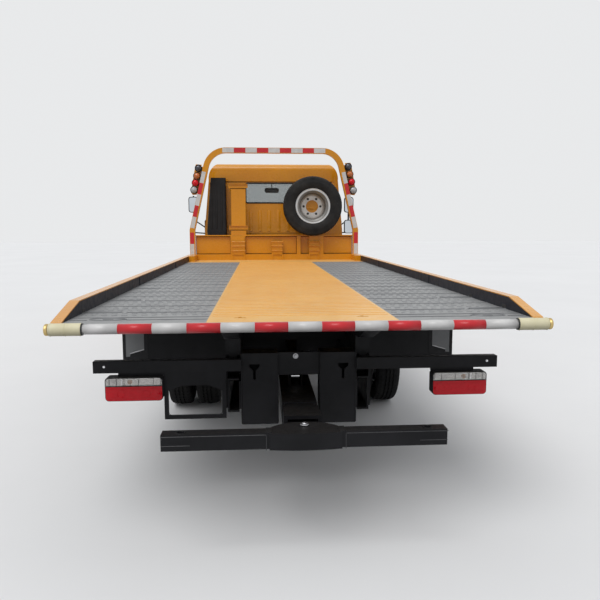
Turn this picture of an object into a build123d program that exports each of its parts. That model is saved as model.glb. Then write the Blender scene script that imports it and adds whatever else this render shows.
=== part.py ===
from build123d import *
import math
import os

# Flatbed tow truck, millimetres. +X is the truck's right side, +Y is forward, +Z is up.
# The origin is on the floor under the middle of the whole truck.

# Overall
overall_length = 7600
crossbar_proud = 60
tail_y = -overall_length / 2 + crossbar_proud
deck_z = 1100
seat_gap = 0.3
fit_gap = 0.05

# Bed
bed_length = 5600
rail_inner_x = 1100
rail_width = 50
rail_rise = 70
rail_drop = 100
rail_wall = 6
plate_thickness = 6
beam_depth = 50
runner_width = 80
runner_height = 80
runner_wall = 8
runner_x = 345
flange_width = 20
flange_thickness = 10
pad_thickness = 5
deck_lip = 100
centre_half = 447
front_band = 560
cross_pitch = 500

# Chassis
frame_x = 345
frame_flange = 60
frame_wall = 8
frame_bottom = 560
frame_height = 180
subframe_height = 120
tilt_beam_height = 98
wheelbase = 3800
rear_axle_from_tail = 2620
cab_gap = 200
cab_length = 1700

# Wheels: 7.00R16 tyres on 5.50F-16 rims, six studs on 222.25 mm
tyre_radius = 387.5
tyre_width = 200
rim_radius = 203
rim_flange_radius = 225
rim_half = 74
rim_wall = 6
bolt_circle = 222.25
bolt_count = 6
bolt_hole_radius = 16
centre_bore_radius = 82
disc_offset = 115
disc_thickness = 12
track_front = 1600
track_rear_mid = 1520
spindle_radius = 35

# Worked out
frame_top = frame_bottom + frame_height
subframe_top = frame_top + subframe_height
tilt_bottom = subframe_top + seat_gap
tilt_top = tilt_bottom + tilt_beam_height
runner_bottom = tilt_top + pad_thickness + seat_gap
runner_top = runner_bottom + runner_height
plate_bottom = deck_z - plate_thickness
bed_front_y = tail_y + bed_length
rear_axle_y = tail_y + rear_axle_from_tail
front_axle_y = rear_axle_y + wheelbase
cab_rear_y = bed_front_y + cab_gap
cab_front_y = cab_rear_y + cab_length
bumper_front_y = overall_length / 2
frame_outer_x = frame_x + frame_flange / 2
frame_inner_x = frame_x - frame_flange / 2
sides = (-1, 1)

os.makedirs("parts", exist_ok=True)


def block(x, y, z, mode=Mode.ADD):
    """A square-edged block between pairs of x, y and z, in any order."""
    middle = ((x[0] + x[1]) / 2, (y[0] + y[1]) / 2, (z[0] + z[1]) / 2)
    with Locations(middle):
        Box(abs(x[1] - x[0]), abs(y[1] - y[0]), abs(z[1] - z[0]), mode=mode)


def rod(start, end, radius, mode=Mode.ADD):
    """A round bar from start to end."""
    path = Vector(*end) - Vector(*start)
    with BuildSketch(Plane(origin=start, z_dir=path.normalized())) as section:
        Circle(radius)
    extrude(section.sketch, amount=path.length, mode=mode)


def side_shape(points, x0, x1, mode=Mode.ADD):
    """An outline of (y, z) points, pulled from x0 to x1."""
    with BuildSketch(Plane.YZ.offset(x0)) as section:
        with BuildLine():
            Polyline(*points, close=True)
        make_face()
    extrude(section.sketch, amount=x1 - x0, mode=mode)


def front_shape(points, y0, y1, mode=Mode.ADD):
    """An outline of (x, z) points, pulled from y0 to y1."""
    with BuildSketch(Plane.XZ.offset(-y0)) as section:
        with BuildLine():
            Polyline(*points, close=True)
        make_face()
    extrude(section.sketch, amount=y0 - y1, mode=mode)


def finish(builder, label):
    """Name the piece and write it."""
    builder.part.label = label
    export_step(builder.part, f"parts/{label}.step")


# Chassis frame: two channels, crossmembers, and the hinge tube for the cab at the nose
frame_tail_y = tail_y + 480
frame_nose_y = bumper_front_y - 160
cab_hinge_y = cab_front_y - 25
cab_hinge_z = 610
hinge_tube_radius = 20
hinge_tube_half = 420
lug_thickness = 20
cross_wall = 50
# columns: distance from the tail, lowest z, highest z
frame_cross = ((1500, 680, 738), (2900, 600, 700), (3900, 600, 700), (4800, 600, 700))
boom_beam_from_tail = (1790, 1900)
boom_beam_z = (frame_bottom, 600)
cab_under = 900
cab_rest_from_rear = (100, 160)
cylinder_pin_from_tail = 1700
cylinder_pin_z = 640
cylinder_x = 200
boom_pin_from_tail = 1750
boom_pin_z = 600
boom_width = 180
boom_lug_gap = 6

with BuildPart() as frame_rails:
    for side in sides:
        web = frame_outer_x - frame_wall
        block((side * frame_inner_x, side * frame_outer_x), (frame_tail_y, frame_nose_y),
              (frame_bottom, frame_top))
        block((side * (frame_inner_x - 1), side * web), (frame_tail_y - 1, frame_nose_y + 1),
              (frame_bottom + frame_wall, frame_top - frame_wall), mode=Mode.SUBTRACT)
    for from_tail, low, high in frame_cross:
        y = tail_y + from_tail
        block((-frame_outer_x + frame_wall, frame_outer_x - frame_wall),
              (y - cross_wall / 2, y + cross_wall / 2), (low, high))
    block((-frame_outer_x + frame_wall, frame_outer_x - frame_wall),
          (frame_nose_y - 60, frame_nose_y), (frame_bottom, 640))
    block((-frame_outer_x + frame_wall, frame_outer_x - frame_wall),
          (tail_y + boom_beam_from_tail[0], tail_y + boom_beam_from_tail[1]), boom_beam_z)
    # Cab hinge tube on two plates at the rail ends
    rod((-hinge_tube_half, cab_hinge_y, cab_hinge_z), (hinge_tube_half, cab_hinge_y, cab_hinge_z),
        hinge_tube_radius)
    for side in sides:
        side_shape(((frame_nose_y - 10, frame_bottom + 5), (cab_hinge_y, cab_hinge_z - 28),
                    (cab_hinge_y + 26, cab_hinge_z), (cab_hinge_y, cab_hinge_z + 28),
                    (frame_nose_y - 10, cab_hinge_z + 30)),
                   side * (frame_outer_x - lug_thickness), side * frame_outer_x)
    # Lugs for the underlift boom and the two bed cylinders
    pin_y = tail_y + cylinder_pin_from_tail
    beam_y = tail_y + boom_beam_from_tail[0]
    for side in sides:
        near = boom_width / 2 + boom_lug_gap
        side_shape(((beam_y + 10, frame_bottom), (beam_y - 40, 562), (beam_y - 75, 585),
                    (beam_y - 75, 620), (beam_y - 40, 640), (beam_y + 10, boom_beam_z[1])),
                   side * near, side * (near + 16))
        for x in (cylinder_x - 42, cylinder_x + 30):
            side_shape(((beam_y + 10, frame_bottom), (pin_y, cylinder_pin_z - 40),
                        (pin_y - 34, cylinder_pin_z), (pin_y, cylinder_pin_z + 34),
                        (pin_y + 34, cylinder_pin_z + 10), (pin_y + 40, cylinder_pin_z - 46),
                        (beam_y + 10, cylinder_pin_z - 46)), side * x, side * (x + 12))
    rod((-boom_width / 2 - 22, tail_y + boom_pin_from_tail, boom_pin_z),
        (boom_width / 2 + 22, tail_y + boom_pin_from_tail, boom_pin_z), 20)
    for side in sides:
        rod((side * (cylinder_x - 42), pin_y, cylinder_pin_z),
            (side * (cylinder_x + 42), pin_y, cylinder_pin_z), 16)
        # Stand under the back of the cab
        block((side * (frame_inner_x + 5), side * (frame_outer_x - 5)),
              (cab_rear_y + cab_rest_from_rear[0], cab_rear_y + cab_rest_from_rear[1]),
              (frame_top - 1, cab_under - seat_gap))
finish(frame_rails, "frame_rails")

# Subframe on the rails, with the two tail legs, the tilt shaft and its outer plates
tilt_pin_from_tail = 550
tilt_pin_y = tail_y + tilt_pin_from_tail
tilt_pin_z = subframe_top - 30
tilt_pin_radius = 25
tilt_eye_radius = 50
leg_inner_x = 111
leg_outer_x = 300
leg_from_tail = (450, 575)
leg_bottom = 500
leg_top = 880
leg_wall = 10
key_from_edge = 67
key_half = 6.5
key_low = 740
outer_plate = 10
subframe_start_y = tilt_pin_y + tilt_eye_radius + 10
subframe_end_y = tail_y + 5000

with BuildPart() as subframe:
    for side in sides:
        block((side * frame_inner_x, side * frame_outer_x), (subframe_start_y, subframe_end_y),
              (frame_top, subframe_top))
        block((side * (frame_inner_x + frame_wall), side * (frame_outer_x - frame_wall)),
              (subframe_start_y - 1, subframe_end_y + 1),
              (frame_top + frame_wall, subframe_top - frame_wall), mode=Mode.SUBTRACT)
        leg_y = (tail_y + leg_from_tail[0], tail_y + leg_from_tail[1])
        block((side * leg_inner_x, side * leg_outer_x), leg_y, (leg_bottom, leg_top))
        block((side * leg_outer_x, side * frame_inner_x), (frame_tail_y, leg_y[1]),
              (frame_bottom + 15, frame_top - 15))
        block((side * (leg_inner_x + leg_wall), side * (leg_outer_x - leg_wall)),
              (leg_y[0] + leg_wall, leg_y[1] - leg_wall), (leg_bottom - 1, leg_top - leg_wall),
              mode=Mode.SUBTRACT)
        # Chain keyhole in the rear face: a wide funnel over a narrow slot
        key_x = side * (leg_outer_x - key_from_edge)
        front_shape(((key_x - 28, 822), (key_x + 28, 822), (key_x + 25, 805), (key_x + key_half, 788),
                     (key_x + key_half, key_low), (key_x - key_half, key_low), (key_x - key_half, 788),
                     (key_x - 25, 805)),
                    leg_y[0] - 1, leg_y[0] + leg_wall + 1, mode=Mode.SUBTRACT)
        # Outer plate that carries the shaft's end
        side_shape(((tilt_pin_y - 60, frame_bottom + 20), (tilt_pin_y + 330, frame_bottom + 20),
                    (tilt_pin_y + 330, subframe_top - 30), (tilt_pin_y + 80, subframe_top - 10),
                    (tilt_pin_y, tilt_pin_z + tilt_pin_radius), (tilt_pin_y - 25, tilt_pin_z + 18),
                    (tilt_pin_y - 60, tilt_pin_z - 20)),
                   side * frame_outer_x, side * (frame_outer_x + outer_plate))
    rod((-frame_outer_x - outer_plate, tilt_pin_y, tilt_pin_z),
        (frame_outer_x + outer_plate, tilt_pin_y, tilt_pin_z), tilt_pin_radius)
    # Cross plates between the legs, over the boom
    block((-leg_inner_x, leg_inner_x), (tail_y + 465, tail_y + 475), (760, leg_top))
    block((-leg_inner_x, leg_inner_x), (tail_y + 500, tail_y + 560), (785, 845))
    block((-frame_inner_x, frame_inner_x), (tail_y + 2860, tail_y + 2940), (frame_top, frame_top + 60))
    block((-frame_inner_x, frame_inner_x), (subframe_end_y - 60, subframe_end_y),
          (frame_top, subframe_top - 20))
    # Lugs for the boom cylinder hang from a cross tube
    boom_cyl_pin = (tail_y + 1300, 780)
    block((-frame_inner_x, frame_inner_x), (boom_cyl_pin[0] + 35, boom_cyl_pin[0] + 95),
          (frame_top + 10, frame_top + 90))
    for side in sides:
        side_shape(((boom_cyl_pin[0] + 36, frame_top + 10), (boom_cyl_pin[0] - 10, boom_cyl_pin[1] - 28),
                    (boom_cyl_pin[0] - 28, boom_cyl_pin[1]), (boom_cyl_pin[0] - 10, boom_cyl_pin[1] + 28),
                    (boom_cyl_pin[0] + 36, frame_top + 88)), side * 28, side * 38)
    rod((-38, *boom_cyl_pin), (38, *boom_cyl_pin), 14)
finish(subframe, "subframe")

# Leaf springs: each pack is one stepped outline, with eyes and hangers
leaf_thickness = 11
leaf_width = 70
rear_spring_x = 435
# columns: axle y, middle x, seat z at the axle, half lengths of the leaves from the top leaf down
spring_packs = (
    (front_axle_y, frame_x, 402, (600, 520, 420, 300, 180)),
    (rear_axle_y, rear_spring_x, 452, (620, 540, 450, 350, 250, 150)),
)
spring_rise = 60
eye_radius = 26

with BuildPart() as springs:
    for axle_y, spring_x, seat_z, leaves in spring_packs:
        longest = leaves[0]
        top_z = seat_z + leaf_thickness * len(leaves)
        left = []
        for i, half in enumerate(leaves):
            rise = spring_rise * (half / longest) ** 2
            left.append((-half, top_z + rise - i * leaf_thickness))
            left.append((-half, top_z + rise - (i + 1) * leaf_thickness))
        right = [(-y, z) for y, z in reversed(left)]
        for side in sides:
            with BuildSketch(Plane.YZ.offset(side * spring_x - leaf_width / 2)) as pack:
                with BuildLine():
                    outline = [(axle_y + y, z) for y, z in left + right]
                    Polyline(*outline)
                    ThreePointArc(outline[-1], (axle_y, top_z), outline[0])
                make_face()
                with Locations((axle_y - longest, top_z + spring_rise + 8),
                               (axle_y + longest, top_z + spring_rise + 8)):
                    Circle(eye_radius)
            extrude(pack.sketch, amount=leaf_width)
            # Hanger from each eye to the rail
            for end in sides:
                eye_y = axle_y + end * longest
                eye_z = top_z + spring_rise + 8
                if spring_x == frame_x:
                    block((side * spring_x - 25, side * spring_x + 25), (eye_y - 18, eye_y + 18),
                          (eye_z, frame_bottom))
                else:
                    block((side * frame_outer_x, side * (frame_outer_x + 15)), (eye_y - 35, eye_y + 35),
                          (eye_z - 30, frame_top - 30))
                    rod((side * frame_outer_x, eye_y, eye_z), (side * spring_x, eye_y, eye_z), 14)
            # U-bolt plate over the axle, and the seat pad under the leaves
            block((side * spring_x - 45, side * spring_x + 45), (axle_y - 70, axle_y + 70),
                  (top_z - 4, top_z + 12))
            block((side * spring_x - leaf_width / 2, side * spring_x + leaf_width / 2),
                  (axle_y - 55, axle_y + 55),
                  (seat_z + seat_gap, seat_z + 14))
finish(springs, "leaf_springs")

# Front axle beam, dropped between the spring seats, with a boss for each kingpin
kingpin_x = 660
axle_beam_z = 340
kingpin_radius = 18
wheel_z = tyre_radius
boss_radius = 38
with BuildPart() as front_axle:
    front_shape(((-kingpin_x, wheel_z - 35), (-500, wheel_z - 35), (-420, axle_beam_z),
                 (420, axle_beam_z), (500, wheel_z - 35), (kingpin_x, wheel_z - 35),
                 (kingpin_x, wheel_z + 30), (520, wheel_z + 30), (440, 402), (-440, 402),
                 (-520, wheel_z + 30), (-kingpin_x, wheel_z + 30)),
                front_axle_y - 32, front_axle_y + 32)
    for side in sides:
        for face in sides:
            edge = front_axle_y + face * 32
            block((side * 20, side * 400), (edge, edge - face * 22), (axle_beam_z + 14, 388),
                  mode=Mode.SUBTRACT)
        rod((side * kingpin_x, front_axle_y, wheel_z - 45), (side * kingpin_x, front_axle_y, wheel_z + 45),
            boss_radius)
        rod((side * kingpin_x, front_axle_y, wheel_z - 95), (side * kingpin_x, front_axle_y, wheel_z + 95),
            kingpin_radius)
finish(front_axle, "front_axle")

# Rear axle: banjo housing with tubes and spindles
tube_radius = 58
banjo_radius = 150
pinion_reach = 240
hub_face_x = track_rear_mid / 2
with BuildPart() as rear_axle:
    rod((-hub_face_x + 150, rear_axle_y, wheel_z), (hub_face_x - 150, rear_axle_y, wheel_z), tube_radius)
    rod((-hub_face_x - 90, rear_axle_y, wheel_z), (hub_face_x + 90, rear_axle_y, wheel_z), spindle_radius)
    with BuildSketch(Plane.YZ.offset(-60)) as banjo:
        with Locations((rear_axle_y, wheel_z)):
            Circle(banjo_radius)
    extrude(banjo.sketch, amount=120)
    rod((0, rear_axle_y, wheel_z), (0, rear_axle_y + pinion_reach, wheel_z), 66)
    for side in sides:
        block((side * rear_spring_x - 40, side * rear_spring_x + 40), (rear_axle_y - 60, rear_axle_y + 60),
              (wheel_z, 452))
finish(rear_axle, "rear_axle")

# Engine as one plain block, the gearbox behind it and the propeller shaft
engine_half = 270
engine_y = (front_axle_y - 420, front_axle_y + 480)
engine_z = (470, 985)
with BuildPart() as driveline:
    block((-engine_half, engine_half), engine_y, engine_z)
    block((-330, -engine_half), (front_axle_y + 100, front_axle_y + 160),
          (frame_bottom + 60, frame_bottom + 140))
    block((engine_half, 330), (front_axle_y + 100, front_axle_y + 160),
          (frame_bottom + 60, frame_bottom + 140))
    gearbox_back = engine_y[0] - 560
    with BuildSketch(Plane.XZ.offset(-engine_y[0])) as bell:
        with Locations((0, 640)):
            Circle(210)
    with BuildSketch(Plane.XZ.offset(-gearbox_back)) as tail_face:
        with Locations((0, 600)):
            Circle(90)
    loft([bell.sketch.face(), tail_face.sketch.face()])
    rod((0, rear_axle_y + pinion_reach, wheel_z), (0, rear_axle_y + pinion_reach + 30, wheel_z), 60)
    rod((0, gearbox_back + 5, 600), (0, rear_axle_y + pinion_reach + 20, wheel_z), 42)
finish(driveline, "driveline")

# Fuel tank on the right rail, battery box and air tank on the left
tank_x = (frame_outer_x + 25, 860)
with BuildPart() as fuel_tank:
    with BuildSketch(Plane.XZ.offset(-(tail_y + 3950))) as section:
        with Locations(((tank_x[0] + tank_x[1]) / 2, 580)):
            RectangleRounded(tank_x[1] - tank_x[0], 340, 70)
    extrude(section.sketch, amount=-800)
    for y in (tail_y + 4050, tail_y + 4620):
        block((frame_outer_x, tank_x[0] + 60), (y, y + 40), (frame_bottom + 10, frame_bottom + 120))
finish(fuel_tank, "fuel_tank")

# Battery box and air tank on the left, and a tool box behind each pair of rear wheels
rear_box_x = (947, 1107)
rear_box_from_tail = (1350, 1950)
rear_box_z = (650, 845)
with BuildPart() as service_boxes:
    block((-frame_outer_x - 20, -frame_outer_x - 420), (tail_y + 4250, tail_y + 4750), (450, 740))
    fillet(service_boxes.edges().filter_by(Axis.Z), 20)
    block((-frame_outer_x, -frame_outer_x - 24), (tail_y + 4300, tail_y + 4340), (570, 720))
    block((-frame_outer_x, -frame_outer_x - 24), (tail_y + 4660, tail_y + 4700), (570, 720))
    rod((-frame_outer_x - 170, tail_y + 3500, 590), (-frame_outer_x - 170, tail_y + 4150, 590), 120)
    for y in (tail_y + 3620, tail_y + 3980):
        block((-frame_outer_x, -frame_outer_x - 160), (y, y + 40), (570, 640))
    for side in sides:
        block((side * rear_box_x[0], side * rear_box_x[1]),
              (tail_y + rear_box_from_tail[0], tail_y + rear_box_from_tail[1]), rear_box_z)
finish(service_boxes, "service_boxes")

# Air intake: a tall tapered duct behind the cab over a filter can
intake_x = -775
intake_y = tail_y + 5700
filter_z = 800
filter_radius = 115
# columns: z, middle x, width, depth
duct_sections = ((920, -640, 130, 110), (1180, -765, 200, 120), (1480, intake_x, 262, 130),
                 (2190, -748, 198, 125))
with BuildPart() as air_intake:
    for low, high in zip(duct_sections, duct_sections[1:]):
        faces = []
        for z, x, wide, deep in (low, high):
            with BuildSketch(Plane.XY.offset(z)) as section:
                with Locations((x, intake_y)):
                    RectangleRounded(wide, deep, 22)
            faces.append(section.sketch.face())
        loft(faces)
    rod((-600, intake_y - 380, filter_z), (-600, intake_y + 60, filter_z), filter_radius)
    block((-700, -585), (intake_y - 50, intake_y + 50), (filter_z, 925))
    block((-frame_outer_x, -520), (intake_y - 250, intake_y - 200), (filter_z - 90, filter_z - 60))
    block((-frame_outer_x, -frame_outer_x - 12), (intake_y - 260, intake_y - 190),
          (frame_bottom + 30, filter_z - 60))
finish(air_intake, "air_intake")

# Front bumper: a shell that wraps the corners, with pockets for the headlamps
bumper_half = 930
bumper_wall = 28
bumper_depth = 260
bumper_z = (400, 596)
lamp_x = (500, 800)
lamp_z = (460, 570)
bracket_y = frame_nose_y
with BuildPart() as front_bumper:
    with BuildSketch(Plane.XY.offset(bumper_z[0])) as plan:
        with BuildLine():
            FilletPolyline((-bumper_half, bumper_front_y - bumper_depth), (-bumper_half, bumper_front_y),
                           (bumper_half, bumper_front_y), (bumper_half, bumper_front_y - bumper_depth),
                           radius=130)
            Line((bumper_half, bumper_front_y - bumper_depth), (-bumper_half, bumper_front_y - bumper_depth))
        make_face()
    extrude(plan.sketch, amount=bumper_z[1] - bumper_z[0])
    with BuildSketch(Plane.XY.offset(bumper_z[0] - 1)) as hollow:
        inner = bumper_half - bumper_wall
        with BuildLine():
            FilletPolyline((-inner, bumper_front_y - bumper_depth - 1),
                           (-inner, bumper_front_y - bumper_wall),
                           (inner, bumper_front_y - bumper_wall), (inner, bumper_front_y - bumper_depth - 1),
                           radius=130 - bumper_wall)
            Line((inner, bumper_front_y - bumper_depth - 1), (-inner, bumper_front_y - bumper_depth - 1))
        make_face()
    extrude(hollow.sketch, amount=bumper_z[1] - bumper_z[0] + 2, mode=Mode.SUBTRACT)
    for side in sides:
        block((side * lamp_x[0], side * lamp_x[1]), (bumper_front_y - 14, bumper_front_y + 1), lamp_z,
              mode=Mode.SUBTRACT)
        block((side * 250, side * 290), (bracket_y, bumper_front_y - bumper_wall + 1), (450, 540))
        block((side * 290, side * (frame_outer_x - 5)), (bracket_y, bracket_y + 14), (450, 565))
        block((side * 300, side * (frame_outer_x - 5)), (bracket_y - 60, bracket_y + 14), (553, frame_bottom))
    block((-380, 380), (bumper_front_y - 14, bumper_front_y + 1), (440, 480), mode=Mode.SUBTRACT)
finish(front_bumper, "front_bumper")

with BuildPart() as headlamps:
    for side in sides:
        block((side * (lamp_x[0] + seat_gap), side * (lamp_x[1] - seat_gap)),
              (bumper_front_y - 14 + seat_gap, bumper_front_y - 2),
              (lamp_z[0] + seat_gap, lamp_z[1] - seat_gap))
finish(headlamps, "headlamps")

# Mudguards over the twin wheels, hung from a bar on each side
guard_radius = 440
guard_x = (515, 1010)
guard_wall = 5
with BuildPart() as mudguards:
    for side in sides:
        with BuildSketch(Plane.YZ.offset(side * guard_x[0])) as ring:
            with Locations((rear_axle_y, wheel_z)):
                Circle(guard_radius + guard_wall)
                Circle(guard_radius, mode=Mode.SUBTRACT)
            with Locations((rear_axle_y, wheel_z - guard_radius + 90)):
                Rectangle(3 * guard_radius, 2 * guard_radius, mode=Mode.SUBTRACT)
        extrude(ring.sketch, amount=side * (guard_x[1] - guard_x[0]))
        for y in (rear_axle_y - 300, rear_axle_y + 260):
            block((side * frame_outer_x, side * guard_x[1]), (y, y + 40), (wheel_z + 338, wheel_z + 378))
finish(mudguards, "mudguards")

# Side guards between the axles, and the plates and bars that carry the rear boxes
side_guard_x = 1000
carrier_plate = 10
with BuildPart() as side_guards:
    for side in sides:
        for low in (480, 660):
            block((side * side_guard_x, side * (side_guard_x + 30)), (tail_y + 3180, tail_y + 5500),
                  (low, low + 100))
        for y in (tail_y + 3300, tail_y + 4860, tail_y + 5160):
            block((side * (side_guard_x - 30), side * side_guard_x), (y, y + 50), (480, 760))
            block((side * frame_outer_x, side * side_guard_x), (y, y + 50), (frame_top - 40, frame_top))
        reach = rear_box_x[0] - seat_gap
        plate_y = tail_y + rear_box_from_tail[0]
        block((side * frame_outer_x, side * reach), (plate_y, plate_y + carrier_plate),
              (rear_box_z[0] + 10, rear_box_z[1]))
        bar_y = tail_y + rear_box_from_tail[1] - 300
        block((side * frame_outer_x, side * reach), (bar_y, bar_y + 50), (frame_top - 45, frame_top - 5))
finish(side_guards, "side_guards")

# Lamp bar across the tail, welded to the legs, with the plate frame under its left half
bar_half = 1052
bar_z = (793, 853)
bar_from_tail = (425, 475)
tail_lamp_x = 845
tail_lamp_z = 713.5
tail_lamp_width = 290
tail_lamp_height = 123
bar_bracket_x = (700, 930)
plate_x = (-tail_lamp_x + tail_lamp_width / 2 + seat_gap, -380)
plate_low = 540
with BuildPart() as lamp_bar:
    for side in sides:
        block((side * leg_outer_x, side * bar_half),
              (tail_y + bar_from_tail[0], tail_y + bar_from_tail[1]), bar_z)
        block((side * bar_bracket_x[0], side * bar_bracket_x[1]), (tail_y + 440, tail_y + 455),
              (tail_lamp_z + tail_lamp_height / 2, bar_z[0]))
    front_shape(((plate_x[0], plate_low), (plate_x[1], plate_low), (plate_x[1], bar_z[0]),
                 (plate_x[0], bar_z[0])), tail_y + 440, tail_y + 448)
    front_shape(((plate_x[0] + 22, plate_low + 22), (plate_x[1] - 22, plate_low + 22),
                 (plate_x[1] - 22, 690), (plate_x[1] - 90, 718), (plate_x[0] + 90, 718),
                 (plate_x[0] + 22, 690)),
                tail_y + 439, tail_y + 449, mode=Mode.SUBTRACT)
finish(lamp_bar, "lamp_bar")

with BuildPart() as tail_lamps:
    for side in sides:
        with BuildSketch(Plane.XZ.offset(-(tail_y + 405))) as face:
            with Locations((side * tail_lamp_x, tail_lamp_z)):
                RectangleRounded(tail_lamp_width, tail_lamp_height, 18)
        extrude(face.sketch, amount=-60)
finish(tail_lamps, "tail_lamps")


# Cab body: a side outline, a front outline and a plan outline, crossed
cab_bottom = 645
arch_radius = 500
roof_z = 2425
cab_half = 948
cab_corner = 230
cab_wall = 36
cab_floor = 940
foot_floor = 820
door_front_y = cab_front_y - 290
door_rear_y = cab_front_y - 1160
door_gap = 6
door_rear_gap = 15
door_thickness = 42
belt_z = 1500
door_pin_x = cab_half + 2
door_pin_y = door_front_y - door_gap / 2
barrel_round = 11
door_pin_radius = 5
barrel_length = 30
door_hinge_z = (960, 1340)


def cab_solid(inset):
    """The cab's outer form, pulled in by inset on every face."""
    i = inset
    front = cab_front_y - i
    rear = cab_rear_y + i
    half = cab_half - i
    low = cab_bottom + i
    with BuildPart() as body:
        with BuildSketch(Plane.YZ.offset(-half)) as side_view:
            with BuildLine():
                Polyline((front - 10, low), (front, low + 30), (front, 1380), (front - 22, 1480),
                         (front - 285, 2310 - 0.3 * i))
                ThreePointArc((front - 285, 2310 - 0.3 * i), (front - 318, 2372 - 0.7 * i),
                              (front - 380, 2405 - i))
                ThreePointArc((front - 380, 2405 - i), (rear + 700, roof_z - i), (rear + 90, 2392 - i))
                ThreePointArc((rear + 90, 2392 - i), (rear + 26, 2364 - 0.8 * i), (rear, 2300 - 0.3 * i))
                Polyline((rear, 2300 - 0.3 * i), (rear, low), (front - 10, low))
            make_face()
        extrude(side_view.sketch, amount=2 * half)
        with BuildSketch(Plane.XZ.offset(-rear)) as front_view:
            with BuildLine():
                Polyline((0, low), (half - 30, low), (half, 1000), (half, 1500), (885 - i, 2170))
                ThreePointArc((885 - i, 2170), (850 - 0.8 * i, 2315 - 0.6 * i), (745 - 0.3 * i, 2402 - i))
                ThreePointArc((745 - 0.3 * i, 2402 - i), (370, 2427 - i), (0, 2435 - i))
                Line((0, 2435 - i), (0, low))
            make_face()
            mirror(about=Plane.YZ)
        extrude(front_view.sketch, amount=rear - front, mode=Mode.INTERSECT)
        with BuildSketch(Plane.XY.offset(low)) as plan:
            with BuildLine():
                FilletPolyline((half, rear), (half, front), (-half, front), (-half, rear),
                               radius=cab_corner - i)
                Line((-half, rear), (half, rear))
            make_face()
        extrude(plan.sketch, amount=roof_z + 20 - low, mode=Mode.INTERSECT)
    return body.part


def wheel_arch(radius):
    """The round space over the front wheels, right across the cab."""
    with BuildPart() as arch:
        rod((-cab_half - 20, front_axle_y, wheel_z), (cab_half + 20, front_axle_y, wheel_z), radius)
    return arch.part


def door_outline(front, rear, low, top):
    """The door's outline in side view, as a solid through the right half."""
    with BuildPart() as prism:
        side_shape(((front, low), (front, 1480), (front - 180, top), (rear, top), (rear, low)),
                   400, cab_half + 20)
    return prism.part


outer_body = cab_solid(0)
inner_body = cab_solid(cab_wall)
with BuildPart() as cabin:
    add(inner_body)
    side_shape(((cab_rear_y - 10, 500), (cab_front_y + 10, 500), (cab_front_y + 10, foot_floor),
                (front_axle_y + 500, foot_floor), (front_axle_y + 460, cab_floor),
                (cab_rear_y - 10, cab_floor)),
               -cab_half - 20, cab_half + 20, mode=Mode.SUBTRACT)
    block((-340, 340), (cab_rear_y - 10, engine_y[1] + 70), (800, engine_z[1] + 55), mode=Mode.SUBTRACT)

window_low = belt_z + 20
door_hole = door_outline(door_front_y, door_rear_y, 700, 2215)
with BuildPart() as cab_shell:
    add(outer_body)
    add(cabin.part, mode=Mode.SUBTRACT)
    add(wheel_arch(arch_radius), mode=Mode.SUBTRACT)
    # Under the floor, and the tunnel over the engine
    side_shape(((cab_rear_y + 40, 600), (cab_front_y - 60, 600), (cab_front_y - 60, 778),
                (front_axle_y + 480, 778), (front_axle_y + 430, cab_under), (cab_rear_y + 40, cab_under)),
               -880, 880, mode=Mode.SUBTRACT)
    block((-300, 300), (cab_rear_y - 10, engine_y[1] + 35), (500, engine_z[1] + 20), mode=Mode.SUBTRACT)
    block((-880, 880), (cab_rear_y - 10, cab_rear_y + 50), (600, 780), mode=Mode.SUBTRACT)
    add(door_hole, mode=Mode.SUBTRACT)
    add(mirror(door_hole, about=Plane.YZ, mode=Mode.PRIVATE), mode=Mode.SUBTRACT)
    # Windscreen and rear window
    front_shape(((-800, window_low), (800, window_low), (710, 2250), (-710, 2250)),
                cab_front_y - 420, cab_front_y + 10, mode=Mode.SUBTRACT)
    front_shape(((-384, 1866), (384, 1866), (384, 2130), (-384, 2130)), cab_rear_y - 10, cab_rear_y + 60,
                mode=Mode.SUBTRACT)
    # Grille pocket
    block((-610, 610), (cab_front_y - 12, cab_front_y + 5), (880, 1180), mode=Mode.SUBTRACT)
    # Door hinges: two barrels and a pin on the pillar, with room for the door's barrel between them
    for side in sides:
        for z in door_hinge_z:
            x = side * door_pin_x
            middle = z + barrel_length
            rod((x, door_pin_y, middle - 5), (x, door_pin_y, middle + barrel_length + 5), barrel_round + 5,
                mode=Mode.SUBTRACT)
            rod((x, door_pin_y, z), (x, door_pin_y, middle), barrel_round)
            rod((x, door_pin_y, middle + barrel_length), (x, door_pin_y, middle + 2 * barrel_length),
                barrel_round)
            rod((x, door_pin_y, z), (x, door_pin_y, middle + 2 * barrel_length), door_pin_radius)
    # Front hinge lugs
    for side in sides:
        side_shape(((cab_hinge_y - 60, cab_bottom + 30), (cab_hinge_y - 34, cab_hinge_z - 20),
                    (cab_hinge_y - 16, cab_hinge_z - 34), (cab_hinge_y + 12, cab_hinge_z - 30),
                    (cab_hinge_y + 22, cab_hinge_z + 2), (cab_hinge_y + 20, cab_bottom + 20)),
                   side * 300, side * 340)
        rod((side * 299, cab_hinge_y, cab_hinge_z), (side * 341, cab_hinge_y, cab_hinge_z),
            hinge_tube_radius + fit_gap, mode=Mode.SUBTRACT)
finish(cab_shell, "cab_shell")

glass_depth = 12
glass_thickness = 6
glass_skin = cab_solid(glass_depth)
glass_core = cab_solid(glass_depth + glass_thickness)
with BuildPart() as cab_glass:
    front_shape(((-800 + 1, window_low + 1), (800 - 1, window_low + 1), (710 - 1, 2249), (-710 + 1, 2249)),
                cab_front_y - 420, cab_front_y + 10)
    front_shape(((-383.7, 1866.3), (383.7, 1866.3), (383.7, 2129.7), (-383.7, 2129.7)),
                cab_rear_y - 10, cab_rear_y + 60)
    add(glass_skin, mode=Mode.INTERSECT)
    add(glass_core, mode=Mode.SUBTRACT)
finish(cab_glass, "cab_glass")

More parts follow.
